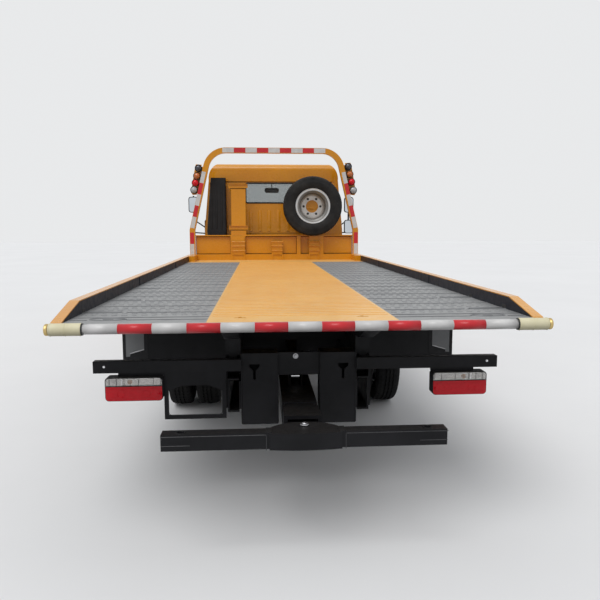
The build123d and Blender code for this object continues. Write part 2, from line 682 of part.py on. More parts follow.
# Grille: a frame with slats in the front panel's pocket
with BuildPart() as grille:
    block((-605, 605), (cab_front_y - 12 + seat_gap, cab_front_y + 8), (885, 1175))
    block((-575, 575), (cab_front_y - 4, cab_front_y + 9), (910, 1150), mode=Mode.SUBTRACT)
    for i in range(5):
        z = 936 + 44 * i
        side_shape(((cab_front_y - 5, z), (cab_front_y + 6, z - 8), (cab_front_y + 6, z - 2),
                    (cab_front_y - 5, z + 10)), -576, 576)
finish(grille, "grille")

# Dashboard with the steering column and wheel
dash_y = cab_front_y - 190
with BuildPart() as dashboard:
    add(cab_solid(cab_wall + seat_gap))
    block((-cab_half, cab_half), (dash_y + 20, cab_front_y), (1190, 1430), mode=Mode.INTERSECT)
    side_shape(((dash_y + 100, 1180), (dash_y + 100, 1440), (dash_y, 1460), (dash_y - 150, 1420),
                (dash_y - 200, 1300), (dash_y - 140, 1180)), -820, 820)
    wheel_plane = Plane(origin=(-430, dash_y - 330, 1400), x_dir=(1, 0, 0), z_dir=(0, -0.5, 0.866))
    rod((-430, dash_y - 330, 1400), (-430, dash_y - 150, 1230), 28)
    with BuildSketch(wheel_plane):
        Circle(215)
        Circle(190, mode=Mode.SUBTRACT)
        for angle in (0, 120, 240):
            with Locations(Location((0, 0, 0), (0, 0, angle + 90))):
                Rectangle(196, 24, align=(Align.MIN, Align.CENTER))
        Circle(45)
    extrude(amount=24)
finish(dashboard, "dashboard")

# Seats: two, each a cushion on a base with a back
seat_y = (front_axle_y - 260, front_axle_y + 220)
with BuildPart() as seat_frames:
    for side in sides:
        block((side * 375, side * 815), (seat_y[0] + 40, seat_y[1] - 40), (cab_floor, 1120))
finish(seat_frames, "seat_bases")

with BuildPart() as seats:
    for side in sides:
        with BuildSketch(Plane.YZ.offset(side * 360)) as cushion:
            with BuildLine():
                FilletPolyline((seat_y[0], 1120 + seat_gap), (seat_y[1] + 30, 1120 + seat_gap),
                               (seat_y[1] + 30, 1250), (seat_y[0] + 110, 1235), (seat_y[0] + 10, 1890),
                               (seat_y[0] - 110, 1880), (seat_y[0] - 70, 1150), radius=30, close=True)
            make_face()
        extrude(cushion.sketch, amount=side * 470)
finish(seats, "seats")

# Mirrors on arms at the front pillars: one head on the left, two on the right
mirror_x = 1259
mirror_width = 150
mirror_y = cab_front_y - 209
mirror_depth = 50
mirror_foot_y = cab_front_y - 258
mirror_arm_radius = 10
mirror_column_radius = 13
# columns: side, middle z, height
mirror_heads = ((-1, 1895, 250), (1, 1895, 250), (1, 1540, 220))
with BuildPart() as mirrors:
    column_y = mirror_y + mirror_depth + mirror_column_radius - 4
    for side in sides:
        block((side * cab_half, side * (cab_half + 10)), (mirror_foot_y - 22, mirror_foot_y + 22),
              (1410, 1470))
        for foot_z, top_z in ((1455, 1655), (1428, 1450)):
            rod((side * (cab_half + 8), mirror_foot_y, foot_z), (side * mirror_x, column_y, top_z),
                mirror_arm_radius)
        rod((side * mirror_x, column_y, 1430), (side * mirror_x, column_y, 2035), mirror_column_radius)
    for side, z, height in mirror_heads:
        with BuildSketch(Plane.XZ.offset(-mirror_y)) as face:
            with Locations((side * mirror_x, z)):
                RectangleRounded(mirror_width, height, 40)
        extrude(face.sketch, amount=-mirror_depth)
finish(mirrors, "mirrors")

# Doors: the same skin, each as thick as the whole door, with its window cut
door_skin = cab_solid(door_thickness)
with BuildPart() as door_right:
    add(outer_body)
    add(door_skin, mode=Mode.SUBTRACT)
    add(wheel_arch(arch_radius + 30), mode=Mode.SUBTRACT)
    add(door_outline(door_front_y - door_gap, door_rear_y + door_rear_gap, 700 + door_gap, 2215 - door_gap),
        mode=Mode.INTERSECT)
    side_shape(((door_front_y - 70, window_low), (door_front_y - 220, 2130), (door_rear_y + 95, 2130),
                (door_rear_y + 95, window_low)), 400, cab_half + 20, mode=Mode.SUBTRACT)
    for z in door_hinge_z:
        low = z + barrel_length
        rod((door_pin_x, door_pin_y, z - 5), (door_pin_x, door_pin_y, z + 3 * barrel_length + 5),
            barrel_round + 5,
            mode=Mode.SUBTRACT)
        rod((door_pin_x, door_pin_y, low + seat_gap),
            (door_pin_x, door_pin_y, low + barrel_length - seat_gap),
            barrel_round)
        block((door_pin_x - 30, door_pin_x - 6), (door_front_y - door_gap - 20, door_pin_y),
              (low + seat_gap, low + barrel_length - seat_gap))
        rod((door_pin_x, door_pin_y, z), (door_pin_x, door_pin_y, z + 3 * barrel_length),
            door_pin_radius + fit_gap,
            mode=Mode.SUBTRACT)
finish(door_right, "door_right")

with BuildPart() as door_left:
    add(mirror(door_right.part, about=Plane.YZ, mode=Mode.PRIVATE))
finish(door_left, "door_left")

with BuildPart() as door_glass_right:
    side_shape(((door_front_y - 71, window_low + 1), (door_front_y - 221, 2129), (door_rear_y + 96, 2129),
                (door_rear_y + 96, window_low + 1)), 400, cab_half + 20)
    add(glass_skin, mode=Mode.INTERSECT)
    add(glass_core, mode=Mode.SUBTRACT)
finish(door_glass_right, "door_glass_right")
with BuildPart() as door_glass_left:
    add(mirror(door_glass_right.part, about=Plane.YZ, mode=Mode.PRIVATE))
finish(door_glass_left, "door_glass_left")


def wheel_frame(x, y, outward):
    """A plane on a wheel: local x is outward along the axle, local y is a radius."""
    return Plane(origin=(x, y, wheel_z), x_dir=(outward, 0, 0), z_dir=(0, -outward, 0))


def tyre_ring(plane, axis):
    """A tyre: crown, shoulders, bulged walls and bead seats, turned about the axle."""
    half = tyre_width / 2
    with BuildSketch(plane) as section:
        with BuildLine():
            Polyline((rim_half - 8, rim_radius + 1), (rim_half - 6, rim_flange_radius + 2))
            ThreePointArc((rim_half - 6, rim_flange_radius + 2), (half, 300), (half - 14, 366))
            ThreePointArc((half - 14, 366), (half - 22, 379), (half - 34, 383))
            ThreePointArc((half - 34, 383), (0, tyre_radius), (34 - half, 383))
            ThreePointArc((34 - half, 383), (22 - half, 379), (14 - half, 366))
            ThreePointArc((14 - half, 366), (-half, 300), (6 - rim_half, rim_flange_radius + 2))
            Polyline((6 - rim_half, rim_flange_radius + 2), (8 - rim_half, rim_radius + 1),
                     (rim_half - 8, rim_radius + 1))
        make_face()
    revolve(section.sketch, axis=axis)


def rim_ring(plane, axis, disc_at):
    """A rim: the drop-centre barrel with its flanges, and the dished disc at disc_at."""
    w = rim_wall
    toward = 1 if disc_at > 0 else -1
    with BuildSketch(plane) as barrel:
        with BuildLine():
            Polyline((-rim_half, rim_flange_radius), (-rim_half + w, rim_flange_radius),
                     (-rim_half + w, rim_radius),
                     (-40, rim_radius), (-30, rim_radius - 22), (30, rim_radius - 22), (40, rim_radius),
                     (rim_half - w, rim_radius), (rim_half - w, rim_flange_radius),
                     (rim_half, rim_flange_radius),
                     (rim_half, rim_radius - w), (40 + w, rim_radius - w), (30 + w, rim_radius - 22 - w),
                     (-30 - w, rim_radius - 22 - w), (-40 - w, rim_radius - w), (-rim_half, rim_radius - w),
                     close=True)
        make_face()
    revolve(barrel.sketch, axis=axis)
    d = disc_thickness
    start = toward * 20
    with BuildSketch(plane) as disc:
        with BuildLine():
            Polyline((start, rim_radius - 24), (start + toward * d, rim_radius - 24),
                     (disc_at - toward * 14, 158), (disc_at, 140), (disc_at, centre_bore_radius),
                     (disc_at - toward * d, centre_bore_radius), (disc_at - toward * d, 140),
                     (disc_at - toward * (d + 12), 150), close=True)
        make_face()
    revolve(disc.sketch, axis=axis)


def rim_bolts(origin_x, origin_y, radius, x0, x1, mode):
    """Six round bars or holes on the bolt circle, from x0 to x1."""
    for i in range(bolt_count):
        angle = math.radians(360 / bolt_count * i)
        y = origin_y + bolt_circle / 2 * math.cos(angle)
        z = wheel_z + bolt_circle / 2 * math.sin(angle)
        rod((x0, y, z), (x1, y, z), radius, mode=mode)


# Front wheels: rim outboard of the hub, drum behind it
front_hub_x = track_front / 2
hub_radius = centre_bore_radius - 4
drum_radius = 150
for side, name in ((-1, "left"), (1, "right")):
    axis = Axis((0, front_axle_y, wheel_z), (1, 0, 0))
    plane = wheel_frame(side * front_hub_x, front_axle_y, side)
    disc_x = side * (front_hub_x + disc_offset)
    with BuildPart() as tyre:
        tyre_ring(plane, axis)
    finish(tyre, f"tyre_front_{name}")
    with BuildPart() as rim:
        rim_ring(plane, axis, disc_offset)
        inboard = side * (front_hub_x + disc_offset - disc_thickness)
        rim_bolts(disc_x, front_axle_y, 11, inboard, disc_x + side * 26, Mode.ADD)
        rod((side * 705, front_axle_y, wheel_z), (disc_x + side * 40, front_axle_y, wheel_z), hub_radius)
        rod((inboard - side * 16, front_axle_y, wheel_z), (inboard, front_axle_y, wheel_z), 128)
        rod((side * 705, front_axle_y, wheel_z), (side * 790, front_axle_y, wheel_z), drum_radius)
        rod((side * 704, front_axle_y, wheel_z), (inboard, front_axle_y, wheel_z), spindle_radius + fit_gap,
            mode=Mode.SUBTRACT)
    finish(rim, f"rim_front_{name}")

# Knuckles: a fork round the axle's boss, the spindle, and a steering arm with its ball
arm_back = 150
arm_pin_radius = 9
knuckle_low = wheel_z - 45 - 5
knuckle_high = wheel_z + 45 + 5
for side, name in ((-1, "left"), (1, "right")):
    kx = side * kingpin_x
    with BuildPart() as knuckle:
        for low, high in ((knuckle_low - 28, knuckle_low), (knuckle_high, knuckle_high + 28)):
            rod((kx, front_axle_y, low), (kx, front_axle_y, high), 36)
            block((kx, kx + side * 40), (front_axle_y - 34, front_axle_y + 34), (low, high))
            rod((kx, front_axle_y, low - 1), (kx, front_axle_y, high + 1), kingpin_radius + fit_gap,
                mode=Mode.SUBTRACT)
        block((side * (kingpin_x + boss_radius + 4), side * 699), (front_axle_y - 60, front_axle_y + 60),
              (knuckle_low - 28, knuckle_high + 28))
        for low, high in ((knuckle_low - 28, knuckle_low), (knuckle_high, knuckle_high + 28)):
            block((kx + side * 30, side * 699), (front_axle_y - 34, front_axle_y + 34), (low, high))
        rod((side * 698, front_axle_y, wheel_z), (side * (front_hub_x + 90), front_axle_y, wheel_z),
            spindle_radius)
        arm_y = front_axle_y - arm_back
        block((kx - side * 16, kx + side * 16), (arm_y, front_axle_y - 20),
              (knuckle_low - 28, knuckle_low - 4))
        rod((kx, arm_y, knuckle_low - 28), (kx, arm_y, knuckle_low - 4), 24)
        rod((kx, arm_y, knuckle_low - 50), (kx, arm_y, knuckle_low - 27), arm_pin_radius)
    finish(knuckle, f"knuckle_{name}")

# Track rod between the two arms
with BuildPart() as track_rod:
    rod_z = knuckle_low - 42
    y = front_axle_y - arm_back
    rod((-kingpin_x + 18, y, rod_z), (kingpin_x - 18, y, rod_z), 14)
    for side in sides:
        rod((side * kingpin_x, y, rod_z - 12), (side * kingpin_x, y, rod_z + 12), 22)
        rod((side * kingpin_x, y, rod_z - 13), (side * kingpin_x, y, rod_z + 13), arm_pin_radius + fit_gap,
            mode=Mode.SUBTRACT)
finish(track_rod, "track_rod")

# Rear twin wheels: two rims back to back on one hub
for side, name in ((-1, "left"), (1, "right")):
    axis = Axis((0, rear_axle_y, wheel_z), (1, 0, 0))
    inner_plane = wheel_frame(side * (hub_face_x - disc_offset), rear_axle_y, side)
    outer_plane = wheel_frame(side * (hub_face_x + disc_offset), rear_axle_y, side)
    with BuildPart() as tyres:
        tyre_ring(inner_plane, axis)
        tyre_ring(outer_plane, axis)
    finish(tyres, f"tyres_rear_{name}")
    with BuildPart() as rims:
        rim_ring(inner_plane, axis, disc_offset)
        rim_ring(outer_plane, axis, -disc_offset)
        rim_bolts(side * hub_face_x, rear_axle_y, 11, side * (hub_face_x - 14), side * (hub_face_x + 36),
                  Mode.ADD)
        rod((side * (hub_face_x - 125), rear_axle_y, wheel_z),
            (side * (hub_face_x + 70), rear_axle_y, wheel_z),
            hub_radius)
        rod((side * (hub_face_x - 130), rear_axle_y, wheel_z),
            (side * (hub_face_x - 20), rear_axle_y, wheel_z),
            drum_radius)
        rod((side * (hub_face_x - 24), rear_axle_y, wheel_z),
            (side * (hub_face_x - 10), rear_axle_y, wheel_z), 128)
        rod((side * (hub_face_x - 131), rear_axle_y, wheel_z),
            (side * (hub_face_x + 92), rear_axle_y, wheel_z),
            spindle_radius + fit_gap, mode=Mode.SUBTRACT)
    finish(rims, f"rims_rear_{name}")

# Tilt frame: two beams on the subframe, cross beams, tail eyes and the cylinder lugs
tilt_start_y = tilt_pin_y - 50
tilt_end_y = subframe_end_y - 100
lift_eye_from_tail = 3100
lift_eye = (tail_y + lift_eye_from_tail, 900)
runner_inner_x = runner_x - runner_width / 2
runner_outer_x = runner_x + runner_width / 2
with BuildPart() as tilt_frame:
    for side in sides:
        block((side * runner_inner_x, side * runner_outer_x), (tilt_start_y, tilt_end_y),
              (tilt_bottom, tilt_top))
        block((side * (runner_inner_x + 8), side * (runner_outer_x - 8)),
              (tilt_start_y + 150, tilt_end_y + 1),
              (tilt_bottom + 8, tilt_top - 8), mode=Mode.SUBTRACT)
        side_shape(((tilt_pin_y - 50, tilt_bottom + 5), (tilt_pin_y - 50, tilt_pin_z),
                    (tilt_pin_y - 35, tilt_pin_z - 35),
                    (tilt_pin_y, tilt_pin_z - 50), (tilt_pin_y + 35, tilt_pin_z - 35),
                    (tilt_pin_y + 50, tilt_pin_z),
                    (tilt_pin_y + 50, tilt_bottom + 5)), side * (frame_x - 20), side * (frame_x + 20))
        rod((side * (frame_x - 21), tilt_pin_y, tilt_pin_z), (side * (frame_x + 21), tilt_pin_y, tilt_pin_z),
            tilt_pin_radius + fit_gap, mode=Mode.SUBTRACT)
        # Keepers that hook over the runner's flange
        for i in range(4):
            y = tilt_start_y + 300 + i * 1150
            block((side * runner_outer_x, side * (runner_outer_x + 48)), (y, y + 160),
                  (tilt_top - 40, tilt_top - 22))
            block((side * (runner_outer_x + flange_width + 8), side * (runner_outer_x + 48)), (y, y + 160),
                  (tilt_top - 40, runner_bottom + flange_thickness + 22))
            block((side * (runner_outer_x + 8), side * (runner_outer_x + 48)), (y, y + 160),
                  (runner_bottom + flange_thickness + 6, runner_bottom + flange_thickness + 22))
            # Slide pad under the runner
            block((side * (runner_x - 25), side * (runner_x + 25)), (y, y + 160),
                  (tilt_top, tilt_top + pad_thickness))
    for from_tail in (900, 2000, 3180, 4300, 4860):
        y = tail_y + from_tail
        block((-runner_inner_x, runner_inner_x), (y, y + 60), (tilt_bottom + 5, tilt_top - 5))
    for side in sides:
        for x in (cylinder_x - 44, cylinder_x + 32):
            side_shape(((tail_y + 3185, tilt_bottom + 6), (lift_eye[0], lift_eye[1] - 36),
                        (lift_eye[0] - 36, lift_eye[1]),
                        (lift_eye[0], lift_eye[1] + 36), (tail_y + 3185, tilt_top - 6)), side * x,
                        side * (x + 12))
finish(tilt_frame, "tilt_frame")

# Bed frame: runners, cross beams under the deck, tail beam
bed_cross_start = 350
with BuildPart() as bed_frame:
    for side in sides:
        block((side * runner_inner_x, side * runner_outer_x), (tail_y + 200, bed_front_y),
              (runner_bottom, plate_bottom - beam_depth))
        block((side * (runner_inner_x + runner_wall), side * (runner_outer_x - runner_wall)),
              (tail_y + 460, bed_front_y + 1), (runner_bottom + runner_wall, runner_top - runner_wall),
              mode=Mode.SUBTRACT)
        # The runner's tail is cut away so that it clears the floor when the bed is down
        side_shape(((tail_y + 199, runner_bottom - 1), (tail_y + 420, runner_bottom - 1),
                    (tail_y + 199, plate_bottom - beam_depth - 8)),
                   side * (runner_inner_x - 1), side * (runner_outer_x + 1), mode=Mode.SUBTRACT)
        block((side * (runner_outer_x - 1), side * (runner_outer_x + flange_width)),
              (tail_y + 500, bed_front_y - 60),
              (runner_bottom, runner_bottom + flange_thickness))
    count = int((bed_length - bed_cross_start - 100) / cross_pitch) + 1
    for i in range(count):
        y = tail_y + bed_cross_start + i * cross_pitch
        block((-rail_inner_x, rail_inner_x), (y, y + 50), (plate_bottom - beam_depth, plate_bottom))
    block((-rail_inner_x, rail_inner_x), (bed_front_y - 60, bed_front_y),
          (plate_bottom - beam_depth, plate_bottom))
    side_shape(((tail_y + 112, plate_bottom), (tail_y + 112, plate_bottom - 25),
                (tail_y + 160, plate_bottom - beam_depth),
                (tail_y + 205, plate_bottom - beam_depth), (tail_y + 205, plate_bottom)), -rail_inner_x,
                rail_inner_x)
finish(bed_frame, "bed_frame")

# Deck plates: grey sides with tie-down slots, yellow middle and front band
band_y = bed_front_y - 100 - front_band
with BuildPart() as deck_sides:
    for side in sides:
        block((side * centre_half, side * rail_inner_x), (tail_y + deck_lip, band_y), (plate_bottom, deck_z))
        with BuildSketch(Plane.XY.offset(plate_bottom - 1)) as slot:
            with Locations((side * 917, tail_y + 228)):
                SlotOverall(52, 18)
        extrude(slot.sketch, amount=plate_thickness + 2, mode=Mode.SUBTRACT)
finish(deck_sides, "deck_sides")

with BuildPart() as deck_centre:
    block((-centre_half, centre_half), (tail_y + deck_lip, band_y), (plate_bottom, deck_z))
    block((-rail_inner_x, rail_inner_x), (band_y, bed_front_y), (plate_bottom, deck_z))
    for side in sides:
        with BuildSketch(Plane.XY.offset(plate_bottom - 1)) as slot:
            with Locations((side * 297, tail_y + 236)):
                SlotOverall(60, 16)
            with Locations((side * 297, tail_y + 246)):
                Rectangle(16, 36)
        extrude(slot.sketch, amount=plate_thickness + 2, mode=Mode.SUBTRACT)
finish(deck_centre, "deck_centre")

# Side rails: channels with a sloped tail end
with BuildPart() as side_rails:
    for side in sides:
        side_shape(((tail_y + 110, deck_z - 36), (tail_y + 130, deck_z + 4),
                    (tail_y + 420, deck_z + rail_rise),
                    (bed_front_y - 20, deck_z + rail_rise), (bed_front_y - 20, deck_z - rail_drop),
                    (tail_y + 520, deck_z - rail_drop), (tail_y + 200, deck_z - 60)),
                   side * rail_inner_x, side * (rail_inner_x + rail_width))
        side_shape(((tail_y + 560, deck_z - rail_drop + rail_wall), (tail_y + 560, deck_z - rail_wall),
                    (bed_front_y - 40, deck_z - rail_wall),
                    (bed_front_y - 40, deck_z - rail_drop + rail_wall)),
                   side * (rail_inner_x + rail_wall), side * (rail_inner_x + rail_width + 1),
                   mode=Mode.SUBTRACT)
finish(side_rails, "side_rails")

# Tail: the striped tube with a spindle and cap at each end, and a sloped lip to the deck
tail_tube_radius = 22
tail_tube_half = 975
spindle_half = 1142
roller_radius = 28
tube_y = tail_y + tail_tube_radius
tube_z = deck_z - 12
with BuildPart() as tail_tube:
    rod((-tail_tube_half, tube_y, tube_z), (tail_tube_half, tube_y, tube_z), tail_tube_radius)
    rod((-spindle_half, tube_y, tube_z), (spindle_half, tube_y, tube_z), 12)
    for side in sides:
        rod((side * 1124, tube_y, tube_z), (side * 1134, tube_y, tube_z), 22)
        side_shape(((tube_y, tube_z - 16), (tail_y + 112, plate_bottom - 25), (tail_y + 112, plate_bottom),
                    (tail_y + deck_lip, plate_bottom), (tube_y, tube_z + 14)),
                   side * (tail_tube_half - 4), side * (tail_tube_half + 4))
    side_shape(((tube_y, tube_z + 18), (tail_y + deck_lip, deck_z), (tail_y + deck_lip, plate_bottom),
                (tube_y, tube_z + 12)),
               -tail_tube_half, tail_tube_half)
    side_shape(((tube_y, tube_z - 18), (tail_y + 112, plate_bottom - 25),
                (tail_y + 112, plate_bottom - 19), (tube_y, tube_z - 12)),
               -tail_tube_half, tail_tube_half)
finish(tail_tube, "tail_tube")
for side, name in ((-1, "left"), (1, "right")):
    with BuildPart() as roller:
        rod((side * (tail_tube_half + 6), tube_y, tube_z), (side * 1119, tube_y, tube_z), roller_radius)
        rod((side * tail_tube_half, tube_y, tube_z), (side * 1120, tube_y, tube_z), 12 + fit_gap,
            mode=Mode.SUBTRACT)
    finish(roller, f"roller_{name}")

# Headboard across the front of the bed, with its sill, flange, uprights and small steps
head_y = bed_front_y - 100
head_top = deck_z + 330
head_half = 1045
# columns: x, width
head_ribs = ((-573, 26), (-410, 43), (321, 51), (620, 69))
with BuildPart() as headboard:
    block((-head_half, head_half), (head_y + 20, head_y + 26), (deck_z, head_top))
    block((-head_half, head_half), (head_y - 20, head_y + 26), (head_top - 14, head_top))
    block((-rail_inner_x, rail_inner_x), (head_y - 40, head_y + 26), (deck_z, deck_z + 75))
    for side in sides:
        block((side * rail_inner_x, side * (rail_inner_x - 75)), (head_y - 390, head_y - 38),
              (deck_z, deck_z + 70))
    for x, width in head_ribs:
        block((x - width / 2, x + width / 2), (head_y - 30, head_y + 21), (deck_z + 70, head_top - 10))
    for x0, x1 in ((-560, -400), (-35, 100), (460, 590)):
        for x in (x0, x1):
            block((x - 6, x + 6), (head_y - 36, head_y - 18), (deck_z + 70, deck_z + 250))
        for z in (125, 185, 240):
            block((x0, x1), (head_y - 38, head_y - 14), (deck_z + z - 7, deck_z + z + 7))
        for x in (x0, x1):
            block((x - 6, x + 6), (head_y - 20, head_y + 21), (deck_z + 236, deck_z + 248))
finish(headboard, "headboard")

# Guard arch: square tube with leaning posts and rounded upper corners, welded from a straight
# top bar, two bends and two posts
arch_tube = 70
arch_foot_x = 1085
arch_top_x = 880
arch_foot_z = deck_z + 75
arch_kink_z = deck_z + 400
arch_top_z = deck_z + 1466 - arch_tube / 2
arch_y = head_y + 5
arch_corner = 300
arch_weld_x = 630
arch_weld_z = deck_z + 1217
with BuildPart() as guard_arch:
    with BuildSketch(Plane.XZ.offset(-(arch_y - arch_tube / 2))) as arch_face:
        with BuildLine():
            FilletPolyline((-arch_foot_x - 35, arch_foot_z), (-arch_foot_x - 35, arch_kink_z),
                           (-arch_top_x + 10, arch_top_z + 35),
                           (arch_top_x - 10, arch_top_z + 35), (arch_foot_x + 35, arch_kink_z),
                           (arch_foot_x + 35, arch_foot_z),
                           radius=[60, arch_corner, arch_corner, 60])
            FilletPolyline((arch_foot_x + 35, arch_foot_z), (arch_foot_x - 35, arch_foot_z),
                           (arch_foot_x - 35, arch_kink_z - 5),
                           (arch_top_x - 66, arch_top_z - 35), (-arch_top_x + 66, arch_top_z - 35),
                           (-arch_foot_x + 35, arch_kink_z - 5), (-arch_foot_x + 35, arch_foot_z),
                           (-arch_foot_x - 35, arch_foot_z),
                           radius=[0.5, 60, arch_corner - 70, arch_corner - 70, 60, 0.5])
        make_face()
    extrude(arch_face.sketch, amount=-arch_tube)
    for weld in (Plane.YZ.offset(-arch_weld_x), Plane.YZ.offset(arch_weld_x), Plane.XY.offset(arch_weld_z)):
        split(bisect_by=weld, keep=Keep.BOTH)
finish(guard_arch, "guard_arch")

# Lamp brackets and the four round lamps outside each post
lamp_radius = 46
lamp_depth = 55
bracket_plate = 6
# for each side, from the top: distance from the middle, height above the deck
lamp_table = {-1: ((990, 1200), (1013, 1100), (1034, 1010), (1054, 920)),
              1: ((984, 1230), (1006, 1130), (1029, 1030), (1054, 920))}
with BuildPart() as lamp_brackets:
    bracket_y = arch_y + arch_tube / 2
    for side in sides:
        top_x, top_h = lamp_table[side][0]
        low_x, low_h = lamp_table[side][3]
        front_shape(((side * (top_x - 94), deck_z + top_h + 20), (side * (top_x + 16), deck_z + top_h + 30),
                     (side * (low_x + 26), deck_z + low_h - 30), (side * (low_x - 74), deck_z + low_h - 50)),
                    bracket_y, bracket_y + bracket_plate)
finish(lamp_brackets, "lamp_brackets")

with BuildPart() as arch_lamps:
    for side in sides:
        for x, h in lamp_table[side]:
            rod((side * x, bracket_y, deck_z + h), (side * x, bracket_y - lamp_depth, deck_z + h),
                lamp_radius)
finish(arch_lamps, "arch_lamps")

# Spare wheel racks: the left one stands empty, the right one holds the wheel
rack_y = head_y + 26
rack_bar = 250
spare_x = 498
spare_z = deck_z + 706
spare_disc_y = head_y - 20
with BuildPart() as spare_racks:
    for x in (-478, spare_x):
        block((x - 100, x + 100), (rack_y, rack_y + 8), (deck_z + 200, deck_z + 1000))
        for edge in (x - 100, x + 92):
            block((edge, edge + 8), (rack_y + 1, rack_y + 60), (deck_z + 100, deck_z + 1000))
        for top in (1000, 454):
            block((x - 100, x + 100), (rack_y, rack_y + 60), (deck_z + top - 8, deck_z + top))
            block((x - rack_bar / 2, x + rack_bar / 2), (rack_y - 6, rack_y),
                  (deck_z + top - 52, deck_z + top))
            block((x - rack_bar / 2, x + rack_bar / 2), (rack_y - 26, rack_y),
                  (deck_z + top - 6, deck_z + top))
    rod((spare_x, rack_y + 4, spare_z), (spare_x, spare_disc_y + seat_gap, spare_z), 60)
    rod((spare_x, spare_disc_y + 13, spare_z), (spare_x, spare_disc_y + seat_gap, spare_z), 150)
finish(spare_racks, "spare_racks")

spare_plane = Plane(origin=(spare_x, spare_disc_y - 88, spare_z), x_dir=(0, -1, 0), z_dir=(-1, 0, 0))
spare_axis = Axis((spare_x, 0, spare_z), (0, 1, 0))
with BuildPart() as spare_tyre:
    tyre_ring(spare_plane, spare_axis)
finish(spare_tyre, "spare_tyre")
with BuildPart() as spare_rim:
    rim_ring(spare_plane, spare_axis, -88)
    for i in range(bolt_count):
        angle = math.radians(360 / bolt_count * i)
        x = spare_x + bolt_circle / 2 * math.cos(angle)
        z = spare_z + bolt_circle / 2 * math.sin(angle)
        rod((x, spare_disc_y - 40, z), (x, spare_disc_y + 5, z), bolt_hole_radius, mode=Mode.SUBTRACT)
finish(spare_rim, "spare_rim")

# Winch in front of the headboard
winch_y = bed_front_y + 70
winch_z = deck_z + 150
with BuildPart() as winch:
    rod((-150, winch_y, winch_z), (150, winch_y, winch_z), 62)
    for side in sides:
        rod((side * 150, winch_y, winch_z), (side * 165, winch_y, winch_z), 86)
        block((side * 165, side * 215), (winch_y - 75, winch_y + 75), (winch_z - 80, winch_z + 80))
    rod((215, winch_y, winch_z), (330, winch_y, winch_z), 50)
    block((-215, 215), (head_y + 26, winch_y + 60), (deck_z + 50, deck_z + 70))
    block((-200, 200), (bed_front_y - 74, bed_front_y - 60), (deck_z, deck_z + 60))
finish(winch, "winch")

# Bed lift cylinders: barrels pinned to the chassis, rods up to the tilt frame
lift_pin = (tail_y + cylinder_pin_from_tail, cylinder_pin_z)
run = (lift_eye[0] - lift_pin[0], lift_eye[1] - lift_pin[1])
lift_length = math.hypot(*run)
lift_dir = (run[0] / lift_length, run[1] / lift_length)


def along(start, direction, distance):
    """A point on a cylinder's line, as (y, z)."""
    return (start[0] + direction[0] * distance, start[1] + direction[1] * distance)


lift_barrel_length = lift_length - 150
lift_barrel_radius = 45
rod_radius = 25
with BuildPart() as lift_barrels:
    for side in sides:
        x = side * cylinder_x
        rod((x, *along(lift_pin, lift_dir, 60)), (x, *along(lift_pin, lift_dir, lift_barrel_length)),
            lift_barrel_radius)
        rod((x, *along(lift_pin, lift_dir, 20)), (x, *along(lift_pin, lift_dir, 70)), 24)
        rod((x - 28, *lift_pin), (x + 28, *lift_pin), 30)
        rod((x - 29, *lift_pin), (x + 29, *lift_pin), 16 + fit_gap, mode=Mode.SUBTRACT)
        rod((x, *along(lift_pin, lift_dir, 300)), (x, *along(lift_pin, lift_dir, lift_barrel_length + 1)),
            rod_radius + fit_gap, mode=Mode.SUBTRACT)
finish(lift_barrels, "lift_barrels")
with BuildPart() as lift_rods:
    for side in sides:
        x = side * cylinder_x
        rod((x, *along(lift_pin, lift_dir, 500)), (x, *along(lift_pin, lift_dir, lift_length - 20)),
            rod_radius)
        rod((x - 26, *lift_eye), (x + 26, *lift_eye), 30)
finish(lift_rods, "lift_rods")

# Underlift: outer boom, inner boom with its fork, crossbar, and the boom's cylinder
boom_z = 565
boom_height = 130
boom_wall = 8
boom_mouth_y = tail_y + 400
collar_y = (tail_y + 165, tail_y + 340)
crossbar_rear_y = -overall_length / 2
swivel_y = crossbar_rear_y + 118
swivel_radius = 22
crossbar_half = 645
crossbar_z = (546, 620)
head_low = 542
head_half_width = 164
arm_y = (crossbar_rear_y + 20, crossbar_rear_y + 88)
fork_pin_x = 560
fork_pin_radius = 16
tongue_half = 60
tongue_z = (566, 596)
boom_pin_y = tail_y + boom_pin_from_tail
boom_cyl_eye = (tail_y + 800, 672)
with BuildPart() as lift_boom:
    half = boom_width / 2
    block((-half, half), (boom_mouth_y, boom_pin_y - 60),
          (boom_z - boom_height / 2, boom_z + boom_height / 2))
    block((-half + boom_wall, half - boom_wall), (boom_mouth_y - 1, boom_pin_y - 90),
          (boom_z - boom_height / 2 + boom_wall, boom_z + boom_height / 2 - boom_wall), mode=Mode.SUBTRACT)
    side_shape(((boom_pin_y - 61, boom_z - 65), (boom_pin_y, boom_pin_z - 32), (boom_pin_y + 32, boom_pin_z),
                (boom_pin_y, boom_pin_z + 32), (boom_pin_y - 61, boom_z + 65)), -half, half)
    rod((-half - 1, boom_pin_y, boom_pin_z), (half + 1, boom_pin_y, boom_pin_z), 20 + fit_gap,
        mode=Mode.SUBTRACT)
    # Lugs over the boom for the cylinder's eye
    for side in sides:
        side_shape(((boom_cyl_eye[0] - 60, 629), (boom_cyl_eye[0] + 60, 629),
                    (boom_cyl_eye[0] + 24, boom_cyl_eye[1] + 24),
                    (boom_cyl_eye[0] - 24, boom_cyl_eye[1] + 24)), side * 30, side * 40)
finish(lift_boom, "lift_boom")

